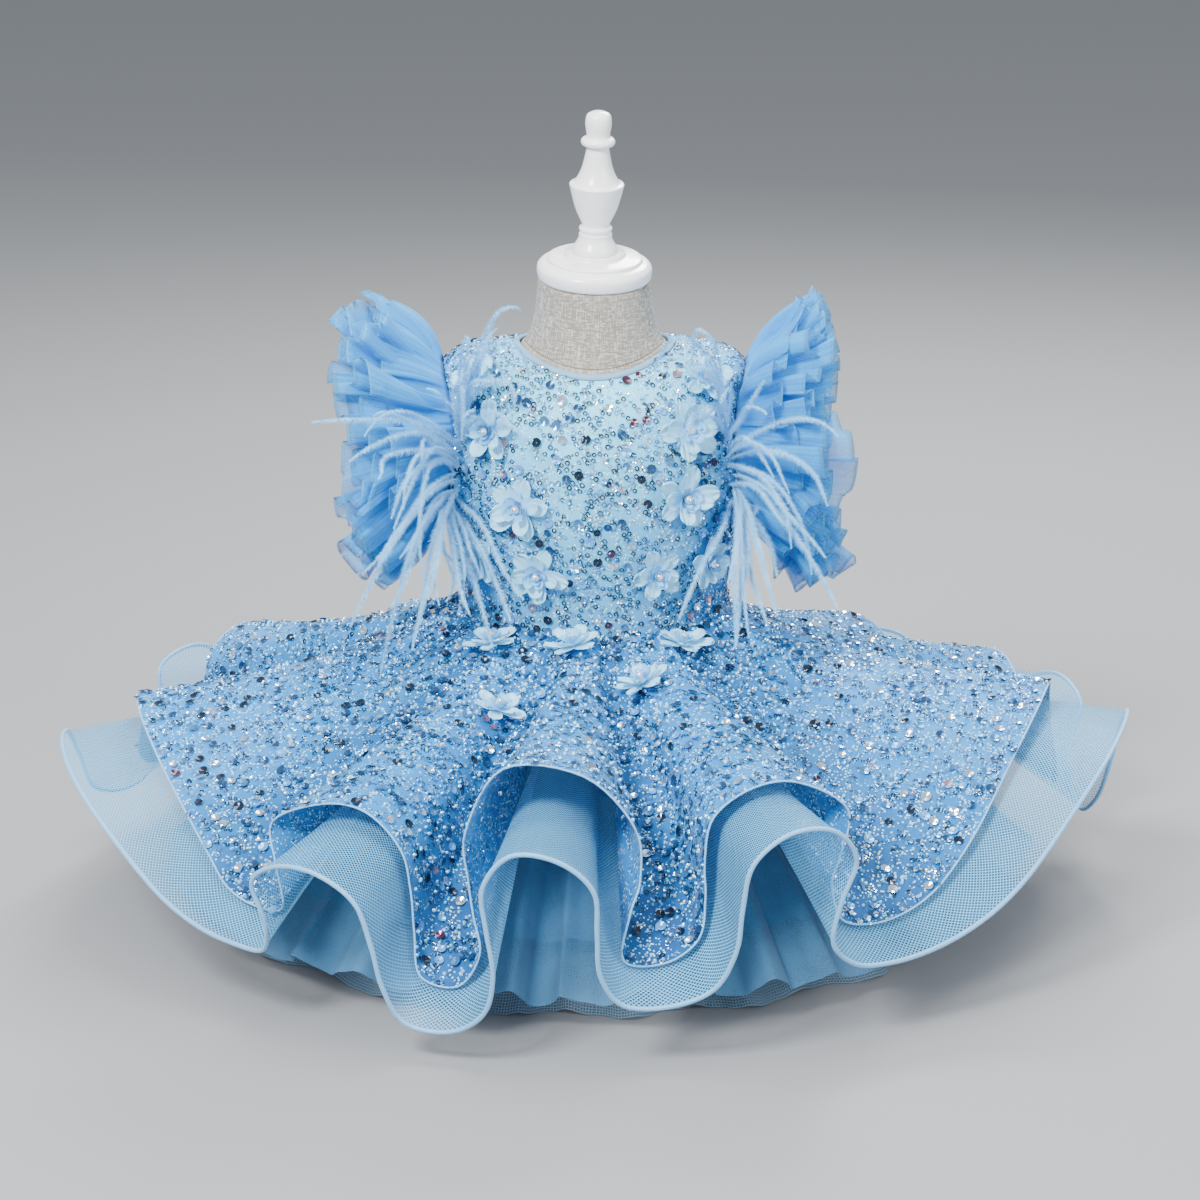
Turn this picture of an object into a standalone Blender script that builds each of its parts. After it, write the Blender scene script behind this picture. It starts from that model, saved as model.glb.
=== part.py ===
# A child's feather dress on the limbless linen dress form it is shown on.
# Metres, +Z up, front towards -Y; the origin is on the floor at the form's axis.
import math
from collections import namedtuple

import bmesh
import bpy
import numpy as np
from mathutils import Matrix, Vector
from mathutils.bvhtree import BVHTree

for thing in list(bpy.data.objects):
    bpy.data.objects.remove(thing, do_unlink=True)

DRESS = bpy.data.collections.new("Feather dress")
bpy.context.scene.collection.children.link(DRESS)

SEAM = 0.0003
BODICE_WALL = 0.0018
BODICE_HEM = 0.2044
SIDE_SEAM = 0.2
BACK_SEAM = 0.16
BODICE_GAP = 0.0024
SKIRT_WALL = 0.0012
TULLE_WALL = 0.0010
WAIST_X = 0.0922
WAIST_Y = 0.0738
WAIST_Z = 0.2034
WAIST_STEP = 0.0020

# Sections of the torso, floor to neck: half width, depth to the front and back,
# and the height of the section's sides, front and back.
Section = namedtuple("Section", "half front back side_z front_z back_z")
TORSO = [
    Section(0.0920, 0.0770, 0.0770, 0.0000, 0.0000, 0.0000),
    Section(0.0940, 0.0790, 0.0790, 0.0030, 0.0030, 0.0030),
    Section(0.1010, 0.0860, 0.0860, 0.0900, 0.0900, 0.0900),
    Section(0.0935, 0.0760, 0.0750, 0.1600, 0.1600, 0.1600),
    Section(0.0890, 0.0705, 0.0700, 0.2050, 0.2050, 0.2050),
    Section(0.0930, 0.0750, 0.0710, 0.2450, 0.2450, 0.2450),
    Section(0.1000, 0.0800, 0.0740, 0.2850, 0.2850, 0.2850),
    Section(0.1045, 0.0790, 0.0770, 0.3200, 0.3200, 0.3200),
    Section(0.1050, 0.0715, 0.0750, 0.3500, 0.3460, 0.3500),
    Section(0.1025, 0.0630, 0.0670, 0.3720, 0.3610, 0.3680),
    Section(0.0940, 0.0580, 0.0590, 0.3830, 0.3660, 0.3790),
    Section(0.0750, 0.0535, 0.0520, 0.3870, 0.3700, 0.3840),
    Section(0.0555, 0.0500, 0.0460, 0.3890, 0.3735, 0.3880),
    Section(0.0465, 0.0440, 0.0420, 0.3970, 0.3850, 0.3970),
    Section(0.0415, 0.0400, 0.0395, 0.4120, 0.4060, 0.4140),
    Section(0.0385, 0.0385, 0.0385, 0.4370, 0.4315, 0.4425),
]
WAIST_ROW = 4
UNDERARM_ROW = 6
SHOULDER_ROW = 9
NECK_ROW = 12
# How far round from the front the armhole's edge lies in each bodice section.
ARMHOLE_EDGE = [78, 77, 74, 64, 65, 78, 80, 82, 84]

# The turned cap and finial: radius and height of each turned ring, cap first.
CAP = [(0.0360, 0.0000), (0.0385, 0.0010), (0.0396, 0.0050), (0.0392, 0.0090), (0.0365, 0.0118),
       (0.0325, 0.0130), (0.0318, 0.0152), (0.0225, 0.0168), (0.0212, 0.0172), (0.0205, 0.0190)]
FINIAL = [(0.0155, 0.0000), (0.0150, 0.0030), (0.0122, 0.0080), (0.0112, 0.0110), (0.0114, 0.0125),
          (0.0100, 0.0140), (0.0112, 0.0156), (0.0112, 0.0172), (0.0092, 0.0188), (0.0105, 0.0220),
          (0.0145, 0.0310), (0.0170, 0.0400), (0.0184, 0.0460), (0.0184, 0.0480), (0.0150, 0.0500),
          (0.0110, 0.0580), (0.0086, 0.0680), (0.0078, 0.0740), (0.0108, 0.0755), (0.0117, 0.0775),
          (0.0108, 0.0795), (0.0082, 0.0810), (0.0080, 0.0830), (0.0090, 0.0900), (0.0080, 0.0960),
          (0.0045, 0.0982)]
CAP_TILT = 8.5
CAP_LEAN = 1.6
NECK_TOP = 0.437

# One row per upward fold of the hem and the hanging lobe after it: degrees round from
# the front, heights, and how far the sequined tier stands off each side and the top.
Fold = namedtuple("Fold", "az rise left_top left_neck right_top right_neck foot_az foot_z foot_half "
                  "lift_left lift_top lift_right")
FOLDS = [
    Fold(-81, 0.122, 10, 13, 17, 30, -40, 0.052, 4.0, 0.010, 0.016, 0.008),
    Fold(-29.0, 0.125, 5.6, 4.9, 6.5, 8.2, -15.9, 0.021, 3.2, 0.024, 0.014, 0.006),
    Fold(-6.4, 0.150, 3.9, 3.2, 6.3, 6.9, 6.2, 0.041, 3.8, 0.022, 0.034, 0.028),
    Fold(20.4, 0.159, 5.8, 6.9, 5.0, 3.2, 33.0, 0.050, 5.0, 0.010, 0.008, 0.022),
    Fold(77, 0.146, 16, 29, 10, 13, 97, 0.042, 4.0, 0.008, 0.012, 0.010),
    Fold(112, 0.112, 6.5, 6.0, 6.5, 6.0, 127, 0.030, 4.0, 0.010, 0.012, 0.010),
    Fold(143, 0.102, 6.5, 6.0, 6.5, 6.0, 158, 0.026, 4.0, 0.010, 0.012, 0.010),
    Fold(174, 0.100, 6.5, 6.0, 6.5, 6.0, 189, 0.026, 4.0, 0.010, 0.012, 0.010),
    Fold(205, 0.102, 6.5, 6.0, 6.5, 6.0, 220, 0.030, 4.0, 0.010, 0.012, 0.010),
    Fold(236, 0.114, 6.5, 6.0, 6.5, 6.0, 253, 0.040, 4.0, 0.010, 0.014, 0.010),
]
# Reach of the hem from the axis, sag of the cloth on its way there and share of that
# way the sequined tier covers, each at a crest and at a lobe's foot.
CREST = (0.384, -0.010, 0.80)
FOOT = (0.362, 0.012, 0.92)
SIDE_NARROWING = 0.028
FOOT_LIFT = 0.0030
BAND_START = 0.74
CORD_RADIUS = 0.0015
SKIRT_COLUMNS = 116

# The fabric flowers on the bodice: place as seen from the front, size and turn.
Flower = namedtuple("Flower", "x z radius turn")
FLOWERS = [
    Flower(-0.0790, 0.3750, 0.0155, 10),
    Flower(-0.0700, 0.3424, 0.0195, 40),
    Flower(-0.0500, 0.2930, 0.0205, 25),
    Flower(-0.0780, 0.2530, 0.0190, 55),
    Flower(-0.0370, 0.2470, 0.0185, 15),
    Flower(0.0410, 0.2470, 0.0175, 30),
    Flower(0.0760, 0.2500, 0.0165, 60),
    Flower(0.0600, 0.2990, 0.0200, 5),
    Flower(0.0620, 0.3441, 0.0195, 45),
    Flower(0.0740, 0.3740, 0.0165, 20),
]
# The rest lie on the sequined tier: here the place is as seen from above.
SKIRT_FLOWERS = [
    Flower(-0.0690, -0.0780, 0.0170, 35),
    Flower(-0.0130, -0.0980, 0.0170, 12),
    Flower(0.0600, -0.0820, 0.0170, 50),
    Flower(-0.0660, -0.1500, 0.0165, 25),
    Flower(0.0350, -0.1350, 0.0165, 5),
]

# The ostrich strands of each armhole, viewer's left and right: where each leaves its
# backing strip, how far its tip lies out, forward and up from there, and its arch.
Strand = namedtuple("Strand", "root out front up arch")
STRAND_STEPS = (0.0, 0.22, 0.5, 0.77, 1.0)
STRAND_ROOT = 0.0011
STRAND_TIP = 0.0005
LEFT_STRANDS = [
    Strand(0.98, -0.052, 0.036, 0.078, 0.032),
    Strand(0.91, -0.046, 0.042, 0.052, 0.040),
    Strand(0.84, 0.050, 0.056, 0.060, 0.026),
    Strand(0.77, 0.076, 0.066, 0.044, 0.020),
    Strand(0.70, 0.090, 0.070, 0.010, 0.020),
    Strand(0.63, 0.080, 0.072, -0.030, 0.024),
    Strand(0.56, 0.068, 0.076, -0.064, 0.020),
    Strand(0.49, 0.044, 0.078, -0.084, 0.016),
    Strand(0.42, 0.010, 0.070, -0.078, 0.012),
    Strand(0.35, -0.024, 0.062, -0.076, 0.010),
    Strand(0.28, -0.046, 0.054, -0.064, 0.010),
    Strand(0.21, -0.028, 0.060, -0.050, 0.008),
    Strand(0.14, 0.026, 0.068, -0.044, 0.008),
    Strand(0.07, -0.008, 0.062, -0.036, 0.006),
]
RIGHT_STRANDS = [
    Strand(0.97, -0.054, 0.024, 0.046, 0.044),
    Strand(0.88, -0.034, 0.036, 0.050, 0.034),
    Strand(0.79, 0.050, 0.060, 0.050, 0.018),
    Strand(0.70, 0.066, 0.066, 0.006, 0.018),
    Strand(0.61, 0.066, 0.072, -0.052, 0.014),
    Strand(0.52, 0.040, 0.076, -0.078, 0.012),
    Strand(0.43, 0.006, 0.068, -0.074, 0.010),
    Strand(0.34, -0.016, 0.062, -0.068, 0.010),
    Strand(0.25, -0.010, 0.060, -0.050, 0.008),
    Strand(0.16, 0.024, 0.068, -0.044, 0.008),
    Strand(0.07, 0.004, 0.062, -0.034, 0.006),
]


# Materials: colour, roughness.
LOOKS = {
    "linen": ((0.58, 0.55, 0.49), 0.9),
    "white_paint": ((0.86, 0.86, 0.86), 0.3),
    "sequined_net": ((0.42, 0.60, 0.74), 0.45),
    "binding": ((0.50, 0.66, 0.78), 0.7),
    "sky_tulle": ((0.30, 0.55, 0.78), 0.8),
    "horsehair_braid": ((0.38, 0.52, 0.62), 0.6),
    "satin": ((0.25, 0.50, 0.74), 0.4),
    "stiff_net": ((0.30, 0.42, 0.52), 0.8),
    "chiffon": ((0.44, 0.68, 0.86), 0.7),
    "ostrich": ((0.48, 0.68, 0.84), 0.8),
}
MATERIALS = {}
for look, (colour, roughness) in LOOKS.items():
    material = bpy.data.materials.new(look)
    material.use_nodes = True
    shader = material.node_tree.nodes["Principled BSDF"]
    shader.inputs["Base Color"].default_value = (*colour, 1)
    shader.inputs["Roughness"].default_value = roughness
    MATERIALS[look] = material


def add_object(name, data, look):
    body = bpy.data.objects.new(name, data)
    data.materials.append(MATERIALS[look])
    DRESS.objects.link(body)
    return body


def mesh_of(name, verts, faces):
    mesh = bpy.data.meshes.new(name)
    mesh.from_pydata([tuple(v) for v in verts], [], faces)
    mesh.shade_smooth()
    return mesh


def grid_faces(rows, columns, closed, keep=lambda row, column: True):
    faces = []
    for i in range(rows - 1):
        for j in range(columns if closed else columns - 1):
            if keep(i, j):
                k = (j + 1) % columns
                faces.append([i * columns + j, i * columns + k, (i + 1) * columns + k, (i + 1) * columns + j])
    return faces


# The same for a ring of cloth whose rows run down from the waist, facing out.
def skirt_faces(rows, columns):
    return [face[::-1] for face in grid_faces(rows, columns, True)]


def used_only(verts, faces):
    used = sorted({i for face in faces for i in face})
    place = {old: new for new, old in enumerate(used)}
    return [verts[i] for i in used], [tuple(place[i] for i in face) for face in faces]


# Cloth: an open surface given an even wall on both sides.
def cloth(name, verts, faces, wall, look):
    body = add_object(name, mesh_of(name, *used_only(verts, faces)), look)
    thicken(body, wall)
    return body


def thicken(body, wall, offset=0.0):
    modifier = body.modifiers.new("wall", "SOLIDIFY")
    modifier.thickness = wall
    modifier.offset = offset


def point_normals(verts, faces):
    mesh = mesh_of("surface", verts, faces)
    normals = [v.normal.copy() for v in mesh.vertices]
    bpy.data.meshes.remove(mesh)
    return normals


def torso_point(row, degrees):
    low = min(int(row), len(TORSO) - 2)
    f = row - low
    a, b = TORSO[low], TORSO[low + 1]
    half, front, back, side_z, front_z, back_z = (p + (q - p) * f for p, q in zip(a, b))
    s, c = math.sin(math.radians(degrees)), math.cos(math.radians(degrees))
    depth, end_z = (front, front_z) if c >= 0 else (back, back_z)
    return Vector((half * s, -depth * c, side_z + (end_z - side_z) * c * c))


def torso_normal(row, degrees):
    along = torso_point(row, degrees + 2) - torso_point(row, degrees - 2)
    up = torso_point(row + 0.2, degrees) - torso_point(row - 0.2, degrees)
    return along.cross(up).normalized()


# The linen body is a loft of its sections; its top ring lies in the cap's tilted plane.
def build_form():
    turns = [360 * k / 24 for k in range(24)]
    stand = Matrix.Translation((0, 0, NECK_TOP)) @ Matrix.Rotation(math.radians(CAP_LEAN), 4, "Y")
    stand = stand @ Matrix.Rotation(math.radians(CAP_TILT), 4, "X")
    verts = [torso_point(row, t) for row in range(len(TORSO) - 1) for t in turns]
    verts += [stand @ polar(t, TORSO[-1].half, 0) for t in turns]
    faces = [tuple(face) for face in grid_faces(len(TORSO), 24, True)]
    faces.append(tuple(reversed(range(24))))
    faces.append(tuple(range(len(verts) - 24, len(verts))))
    body = add_object("form_torso", mesh_of("form_torso", verts, faces), "linen")
    body.data.set_sharp_from_angle(angle=math.radians(50))
    turned("neck_cap", CAP, stand @ Vector((0, 0, SEAM)), 22)
    turned("finial", FINIAL, stand @ Vector((0, 0, CAP[-1][1] + 2 * SEAM)), 14)


# A turned piece: its profile spun round its own leaning axis.
def turned(name, profile, place, steps):
    points = [(0, profile[-1][1])] + list(reversed(profile)) + [(0, profile[0][1])]
    mesh = bpy.data.meshes.new(name)
    mesh.from_pydata([(r, 0, z) for r, z in points], [(i, i + 1) for i in range(len(points) - 1)], [])
    body = add_object(name, mesh, "white_paint")
    body.location = place
    body.rotation_euler = (math.radians(CAP_TILT), math.radians(CAP_LEAN), 0)
    spin = body.modifiers.new("turn", "SCREW")
    spin.steps = spin.render_steps = steps
    spin.use_merge_vertices = True
    spin.merge_threshold = 0.00005


# Bodice: its columns run from the middle to the armhole's edge and on to the side seam,
# and the last one is left out along the armhole.
def bodice_panel(turns):
    rows = range(WAIST_ROW, NECK_ROW + 1)
    verts = []
    for row in rows:
        for degrees in turns(ARMHOLE_EDGE[row - WAIST_ROW]):
            p = torso_point(row, degrees) + torso_normal(row, degrees) * (BODICE_GAP + BODICE_WALL / 2)
            verts.append(Vector((p.x, p.y, BODICE_HEM)) if row == WAIST_ROW else p)
    columns = len(verts) // len(rows)

    def keep(row, column):
        return not (UNDERARM_ROW <= row + WAIST_ROW < SHOULDER_ROW and column == columns - 2)

    return verts, grid_faces(len(rows), columns, False, keep)


def build_bodice():
    shares = [0, 0.18, 0.36, 0.53, 0.69, 0.85, 1.0]
    verts, faces = bodice_panel(lambda edge: [edge * s for s in shares] + [90 - SIDE_SEAM])
    body = add_object("bodice_front", mesh_of("bodice_front", *used_only(verts, faces)), "sequined_net")
    mirror = body.modifiers.new("both halves", "MIRROR")
    mirror.merge_threshold = 0.0001
    thicken(body, BODICE_WALL)
    backs = [0, 0.2, 0.4, 0.6, 0.8, 1.0]

    def back(edge):
        return [180 - BACK_SEAM - (edge - BACK_SEAM) * s for s in backs] + [90 + SIDE_SEAM]

    verts, faces = bodice_panel(back)
    faces = [face[::-1] for face in faces]
    cloth("bodice_back_right", verts, faces, BODICE_WALL, "sequined_net")
    verts = [Vector((-v.x, v.y, v.z)) for v in verts]
    cloth("bodice_back_left", verts, [face[::-1] for face in faces], BODICE_WALL, "sequined_net")


def build_binding():
    count = 30
    verts = []
    for row in (NECK_ROW + 0.20, NECK_ROW + 0.54):
        for k in range(count):
            degrees = 360 * k / count
            verts.append(torso_point(row, degrees) + torso_normal(row, degrees) * 0.0029)
    cloth("neck_binding", verts, grid_faces(2, count, True), 0.0018, "binding")


def polar(degrees, reach, z):
    a = math.radians(degrees)
    return Vector((reach * math.sin(a), -reach * math.cos(a), z))


# The hem: each fold gives its neck, shoulder, crest, shoulder, neck and hanging lobe.
# Each control point is its place, how far it is towards a foot and the sequined tier's lift.
def hem_controls():
    controls = []

    def add(degrees, z, foot, lift):
        narrow = 1 - SIDE_NARROWING * math.sin(math.radians(degrees)) ** 2
        reach = (CREST[0] + (FOOT[0] - CREST[0]) * foot) * narrow
        controls.append(list(polar(degrees, reach, z)) + [foot, lift])

    for i, f in enumerate(FOLDS):
        before = FOLDS[i - 1].foot_z
        left, right = f.rise - before, f.rise - f.foot_z
        add(f.az - f.left_neck, before + 0.30 * left, 0.5, f.lift_left * 0.8)
        add(f.az - f.left_top, f.rise - 0.20 * left, 0.1, f.lift_left)
        add(f.az - f.left_top * 0.35, f.rise - 0.015 * left, 0.0, f.lift_top)
        add(f.az + f.right_top * 0.35, f.rise - 0.015 * right, 0.0, f.lift_top)
        add(f.az + f.right_top, f.rise - 0.20 * right, 0.1, f.lift_right)
        add(f.az + f.right_neck, f.foot_z + 0.30 * right, 0.5, f.lift_right * 0.8)
        add(f.foot_az - f.foot_half, f.foot_z + 0.05 * right, 0.9, FOOT_LIFT)
        add(f.foot_az + f.foot_half, f.foot_z + 0.05 * right, 0.9, FOOT_LIFT)
    return np.array(controls)


# A closed smooth curve through the controls, split evenly by length.
def smooth_loop(controls, count):
    t = np.linspace(0, 1, 16, endpoint=False)[:, None]
    dense = []
    for i in range(len(controls)):
        a, b, c, d = (controls[(i + k) % len(controls)] for k in (-1, 0, 1, 2))
        curve = 2 * b + (c - a) * t + (2 * a - 5 * b + 4 * c - d) * t ** 2 + (3 * b - a - 3 * c + d) * t ** 3
        dense.append(curve / 2)
    dense = np.concatenate(dense)
    dense = np.vstack([dense, dense[:1]])
    length = np.concatenate([[0], np.cumsum(np.linalg.norm(np.diff(dense[:, :3], axis=0), axis=1))])
    goals = length[-1] * np.arange(count) / count
    return np.stack([np.interp(goals, length, dense[:, k]) for k in range(dense.shape[1])], axis=1)


def waist_point(degrees, z, out=0.0):
    a = math.radians(degrees)
    return Vector(((WAIST_X + out) * math.sin(a), -(WAIST_Y + out) * math.cos(a), z))


# Where the under tier lies on its way from waist to hem, at each share of the way.
def tier_rows(hem, steps):
    count = len(hem)
    turn = [math.degrees(math.atan2(p[0], -p[1])) for p in hem]
    base = [turn[0] + 360 * k / count for k in range(count)]
    away = [(t - b + 180) % 360 - 180 for t, b in zip(turn, base)]
    reach = count // 18
    drift = [sum(away[(k + j) % count] for j in range(-reach, reach + 1)) / (2 * reach + 1) for k in range(count)]
    rows = []
    for step in steps:
        row = []
        for k, p in enumerate(hem):
            t = step[k] if isinstance(step, list) else step
            top = waist_point(base[k] + drift[k], WAIST_Z - WAIST_STEP)
            spot = top.lerp(Vector(p[:3]), t)
            spot.z += (CREST[1] + (FOOT[1] - CREST[1]) * p[3]) * 4 * t * (1 - t)
            row.append(spot)
        rows.append(row)
    return rows


def tree_of(verts, faces):
    return BVHTree.FromPolygons(verts, [tuple(f) for f in faces])


def build_tiers():
    hem = smooth_loop(hem_controls(), SKIRT_COLUMNS)
    upper = tier_rows(hem, [0, 0.26, 0.50, BAND_START - 0.001])
    lower = tier_rows(hem, [BAND_START + 0.001, 0.87, 1.0])
    for name, rows, look in (("skirt_under", upper, "sky_tulle"), ("horsehair_band", lower, "horsehair_braid")):
        verts = [p for row in rows for p in row]
        cloth(name, verts, skirt_faces(len(rows), SKIRT_COLUMNS), SKIRT_WALL, look)
    build_cord("hem_cord", lower[-1], lower[-2])
    steps = [0.0, 0.20, 0.44, 0.72, 1.0]
    shares = [[s * (CREST[2] + (FOOT[2] - CREST[2]) * p[3]) for p in hem] for s in steps]
    verts = [p for row in tier_rows(hem, shares) for p in row]
    faces = skirt_faces(len(steps), SKIRT_COLUMNS)
    lifted = []
    for i, (p, n) in enumerate(zip(verts, point_normals(verts, faces))):
        step, spot = steps[i // SKIRT_COLUMNS], hem[i % SKIRT_COLUMNS]
        lifted.append(p + n * (0.0020 + (spot[4] - 0.0005) * step ** 1.3))
    cloth("overskirt", lifted, faces, SKIRT_WALL, "sequined_net")
    return tree_of(lifted, faces)


# The corded edge of the hem, a closed tube just past the band's edge.
def build_cord(name, edge, before):
    curve = bpy.data.curves.new(name, "CURVE")
    curve.dimensions = "3D"
    curve.bevel_depth = CORD_RADIUS
    curve.bevel_resolution = 0
    line = curve.splines.new("POLY")
    line.points.add(len(edge) - 1)
    line.use_cyclic_u = True
    for point, p, q in zip(line.points, edge, before):
        point.co = (*(p + (p - q).normalized() * (CORD_RADIUS + SEAM)), 1)
    add_object(name, curve, "horsehair_braid")


# Gathered underskirts: profile rows of reach and height, waves growing towards the hem.
Layer = namedtuple("Layer", "name look waves amplitude step profile")
LAYERS = [
    Layer("petticoat_tulle", "sky_tulle", 18, 0.0080, 2, [(0, 0), (0.160, 0.140), (0.235, 0.084), (0.300, 0.024)]),
    Layer("skirt_lining", "satin", 12, 0.0040, 3, [(0, 0), (0.160, 0.124), (0.250, 0.047)]),
    Layer("petticoat_net", "stiff_net", 18, 0.0070, 4, [(0, 0), (0.150, 0.112), (0.225, 0.046), (0.266, 0.0007)]),
]


def build_layer(layer):
    count = layer.waves * 4
    verts = []
    top_z = WAIST_Z - layer.step * WAIST_STEP
    for i, (reach, z) in enumerate(layer.profile):
        share = i / (len(layer.profile) - 1)
        for k in range(count):
            degrees = 360 * k / count
            if i == 0:
                verts.append(waist_point(degrees, top_z))
                continue
            wave = math.sin(math.radians(degrees * layer.waves) + 0.6 * math.sin(math.radians(degrees * 3)))
            swell = layer.amplitude * share ** 1.3 * wave
            ground = 1 if z > 0.01 else 0
            verts.append(polar(degrees, reach + swell, z + swell * 0.7 * ground))
    cloth(layer.name, verts, skirt_faces(len(layer.profile), count), TULLE_WALL, layer.look)


# The ruffles: pleated rings that fan out of the armholes.
Ruffle = namedtuple("Ruffle", "suffix loop up front down length fan")
RUFFLES = [
    Ruffle("outer", 0.0, 0.95, 0.80, 1.35, 0.074, 0.0085),
    Ruffle("inner", -0.0018, 0.62, 0.28, 0.80, 0.078, 0.0080),
]
PLEATS = 16
LOOP_Z = 0.329
LOOP_HALF_Z = 0.047
LOOP_HALF_Y = 0.036


def build_ruffle(side, ruffle, skin):
    count = PLEATS * 3
    rows = (0.0, 0.45, 1.0)
    verts = []
    for w in rows:
        for k in range(count):
            a = 2 * math.pi * k / count
            c, s = math.cos(a), math.sin(a)
            start = Vector((side, -(LOOP_HALF_Y + ruffle.loop) * c, LOOP_Z + (LOOP_HALF_Z + ruffle.loop) * s))
            place, normal, face, distance = skin.ray_cast(start, Vector((-side, 0, 0)))
            base = place + normal * (TULLE_WALL / 2 + SEAM)
            tall = ruffle.up if s > 0 else ruffle.down
            way = Vector((side, -ruffle.front * c, tall * s)).normalized()
            tangent = Vector((0, LOOP_HALF_Y * s, LOOP_HALF_Z * c)).normalized()
            across = way.cross(tangent).normalized()
            wave = (-1.0, 1.0, 0.35)[k % 3] * (1 + 0.25 * math.sin(a * 5 + side))
            long = ruffle.length * (1 + 0.05 * math.sin(a * 7 + 2 * side) - 0.10 * max(0.0, -s))
            long *= 1 - (0.13 if side > 0 else 0.04) * max(0.0, s)
            verts.append(base + way * long * w + across * ruffle.fan * wave * w ** 0.8)
    faces = grid_faces(len(rows), count, True)
    if side < 0:
        faces = [list(reversed(f)) for f in faces]
    label = "left" if side < 0 else "right"
    cloth("ruffle_" + label + "_" + ruffle.suffix, verts, faces, TULLE_WALL, "sky_tulle")


def build_flowers(bodice, skirt):
    for number, f in enumerate(FLOWERS + SKIRT_FLOWERS, 1):
        if number <= len(FLOWERS):
            hit, normal, face, distance = bodice.ray_cast(Vector((f.x, -1, f.z)), Vector((0, 1, 0)))
            rest = seat(hit, normal, f.radius, bodice, SEAM)
        else:
            hit, normal, face, distance = skirt.ray_cast(Vector((f.x, f.z, 1)), Vector((0, 0, -1)))
            normal = (normal + Vector((0, 0, 1))).normalized()
            rest = seat(hit, normal, f.radius, skirt, SKIRT_WALL / 2 + SEAM)
        build_flower("flower_%02d" % number, rest, normal, f)


# Lowers a flower along its own axis until the nearest point of its back is just clear of the cloth.
def seat(hit, normal, radius, cloth_tree, gap):
    across = normal.orthogonal().normalized()
    around = normal.cross(across)
    heights = []
    for share in (0.0, 0.25, 0.5, 0.75, 1.0):
        for k in range(20):
            a = 2 * math.pi * k / 20
            back = (across * math.cos(a) + around * math.sin(a)) * radius * share
            rise = 0.0010 * share + 0.0040 * max(0, share - 0.5)
            top = hit + back + normal * 0.05
            found, n, face, distance = cloth_tree.ray_cast(top, -normal)
            if found:
                heights.append(0.05 - distance - rise)
    return hit + normal * (max(heights) + gap)


# Five petals round a shallow cup, placed with their back to the cloth.
def build_flower(name, place, normal, f):
    petals = 5
    count = petals * 2
    verts = [Vector((0, 0, 0))]
    for wide, notch, rise in ((0.42, 0.42, 0.0010), (1.0, 0.66, 0.0060)):
        for k in range(count):
            outer = k % 2 == 0
            verts.append(polar(360 * k / count, f.radius * (wide if outer else notch), rise if outer else rise * 0.45))
    faces = [(0, 1 + k, 1 + (k + 1) % count) for k in range(count)]
    faces += [tuple(i + 1 for i in face) for face in skirt_faces(2, count)]
    body = add_object(name, mesh_of(name, verts, faces), "chiffon")
    thicken(body, 0.0012, 1.0)
    body.location = place
    turn = Matrix.Rotation(math.radians(f.turn), 3, "Z")
    body.rotation_euler = (normal.to_track_quat("Z", "Y").to_matrix() @ turn).to_euler()


# A backing strip on the bodice beside the armhole; each strand grows out of one of its faces.
def build_feathers(name, side, strands, skin):
    bm = bmesh.new()
    stations, normals = [], []
    for i in range(len(strands) + 1):
        a = math.radians(-62 + 94 * i / len(strands))
        start = Vector((side, -0.0475 * math.cos(a), LOOP_Z + 0.0550 * math.sin(a)))
        place, normal, face, distance = skin.ray_cast(start, Vector((-side, 0, 0)))
        inward = Vector((0, -math.cos(a), math.sin(a)))
        inward = (inward - normal * inward.dot(normal)).normalized()
        corners = [(-0.0020, 0.0006), (0.0020, 0.0006), (0.0020, 0.0019), (-0.0020, 0.0019)]
        stations.append([bm.verts.new(place + inward * wide + normal * high) for wide, high in corners])
        normals.append(normal)
    roots = []
    for a, b in zip(stations, stations[1:]):
        for k in range(4):
            m = (k + 1) % 4
            face = bm.faces.new((a[k], b[k], b[m], a[m]))
            if k == 2:
                roots.append(face)
    bm.faces.new(stations[0])
    bm.faces.new(reversed(stations[-1]))
    if side < 0:
        bmesh.ops.reverse_faces(bm, faces=bm.faces[:])
    bm.normal_update()
    for root, normal, strand in zip(roots, normals, sorted(strands, key=lambda s: s.root)):
        grow_strand(bm, root, normal, side, strand)
    mesh = bpy.data.meshes.new(name)
    bm.to_mesh(mesh)
    bm.free()
    return add_object(name, mesh, "ostrich")


# A four-sided strand drawn out of one face, thinning along its arched way to its tip.
def grow_strand(bm, face, normal, side, strand):
    root = face.calc_center_median()
    tip = Vector((side * strand.out, -strand.front, strand.up))
    spots = []
    for t in STRAND_STEPS:
        bow = Vector((0, -0.6, 0.8)) * strand.arch * 4 * t * (1 - t)
        spots.append(root + normal * (0.0004 + 0.004 * min(1, 3 * t)) + tip * t + bow)
    for i, (t, spot) in enumerate(zip(STRAND_STEPS, spots)):
        ahead = normal if i == 0 else (spots[min(i + 1, len(spots) - 1)] - spots[i - 1]).normalized()
        face = bmesh.ops.extrude_discrete_faces(bm, faces=[face])["faces"][0]
        face.normal_update()
        turn = face.normal.rotation_difference(ahead)
        centre = face.calc_center_median()
        for v in face.verts:
            arm = v.co - centre
            arm.rotate(turn)
            v.co = spot + arm.normalized() * (STRAND_ROOT + (STRAND_TIP - STRAND_ROOT) * t)


build_form()
build_bodice()
build_binding()
SKIRT = build_tiers()
for layer in LAYERS:
    build_layer(layer)

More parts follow.
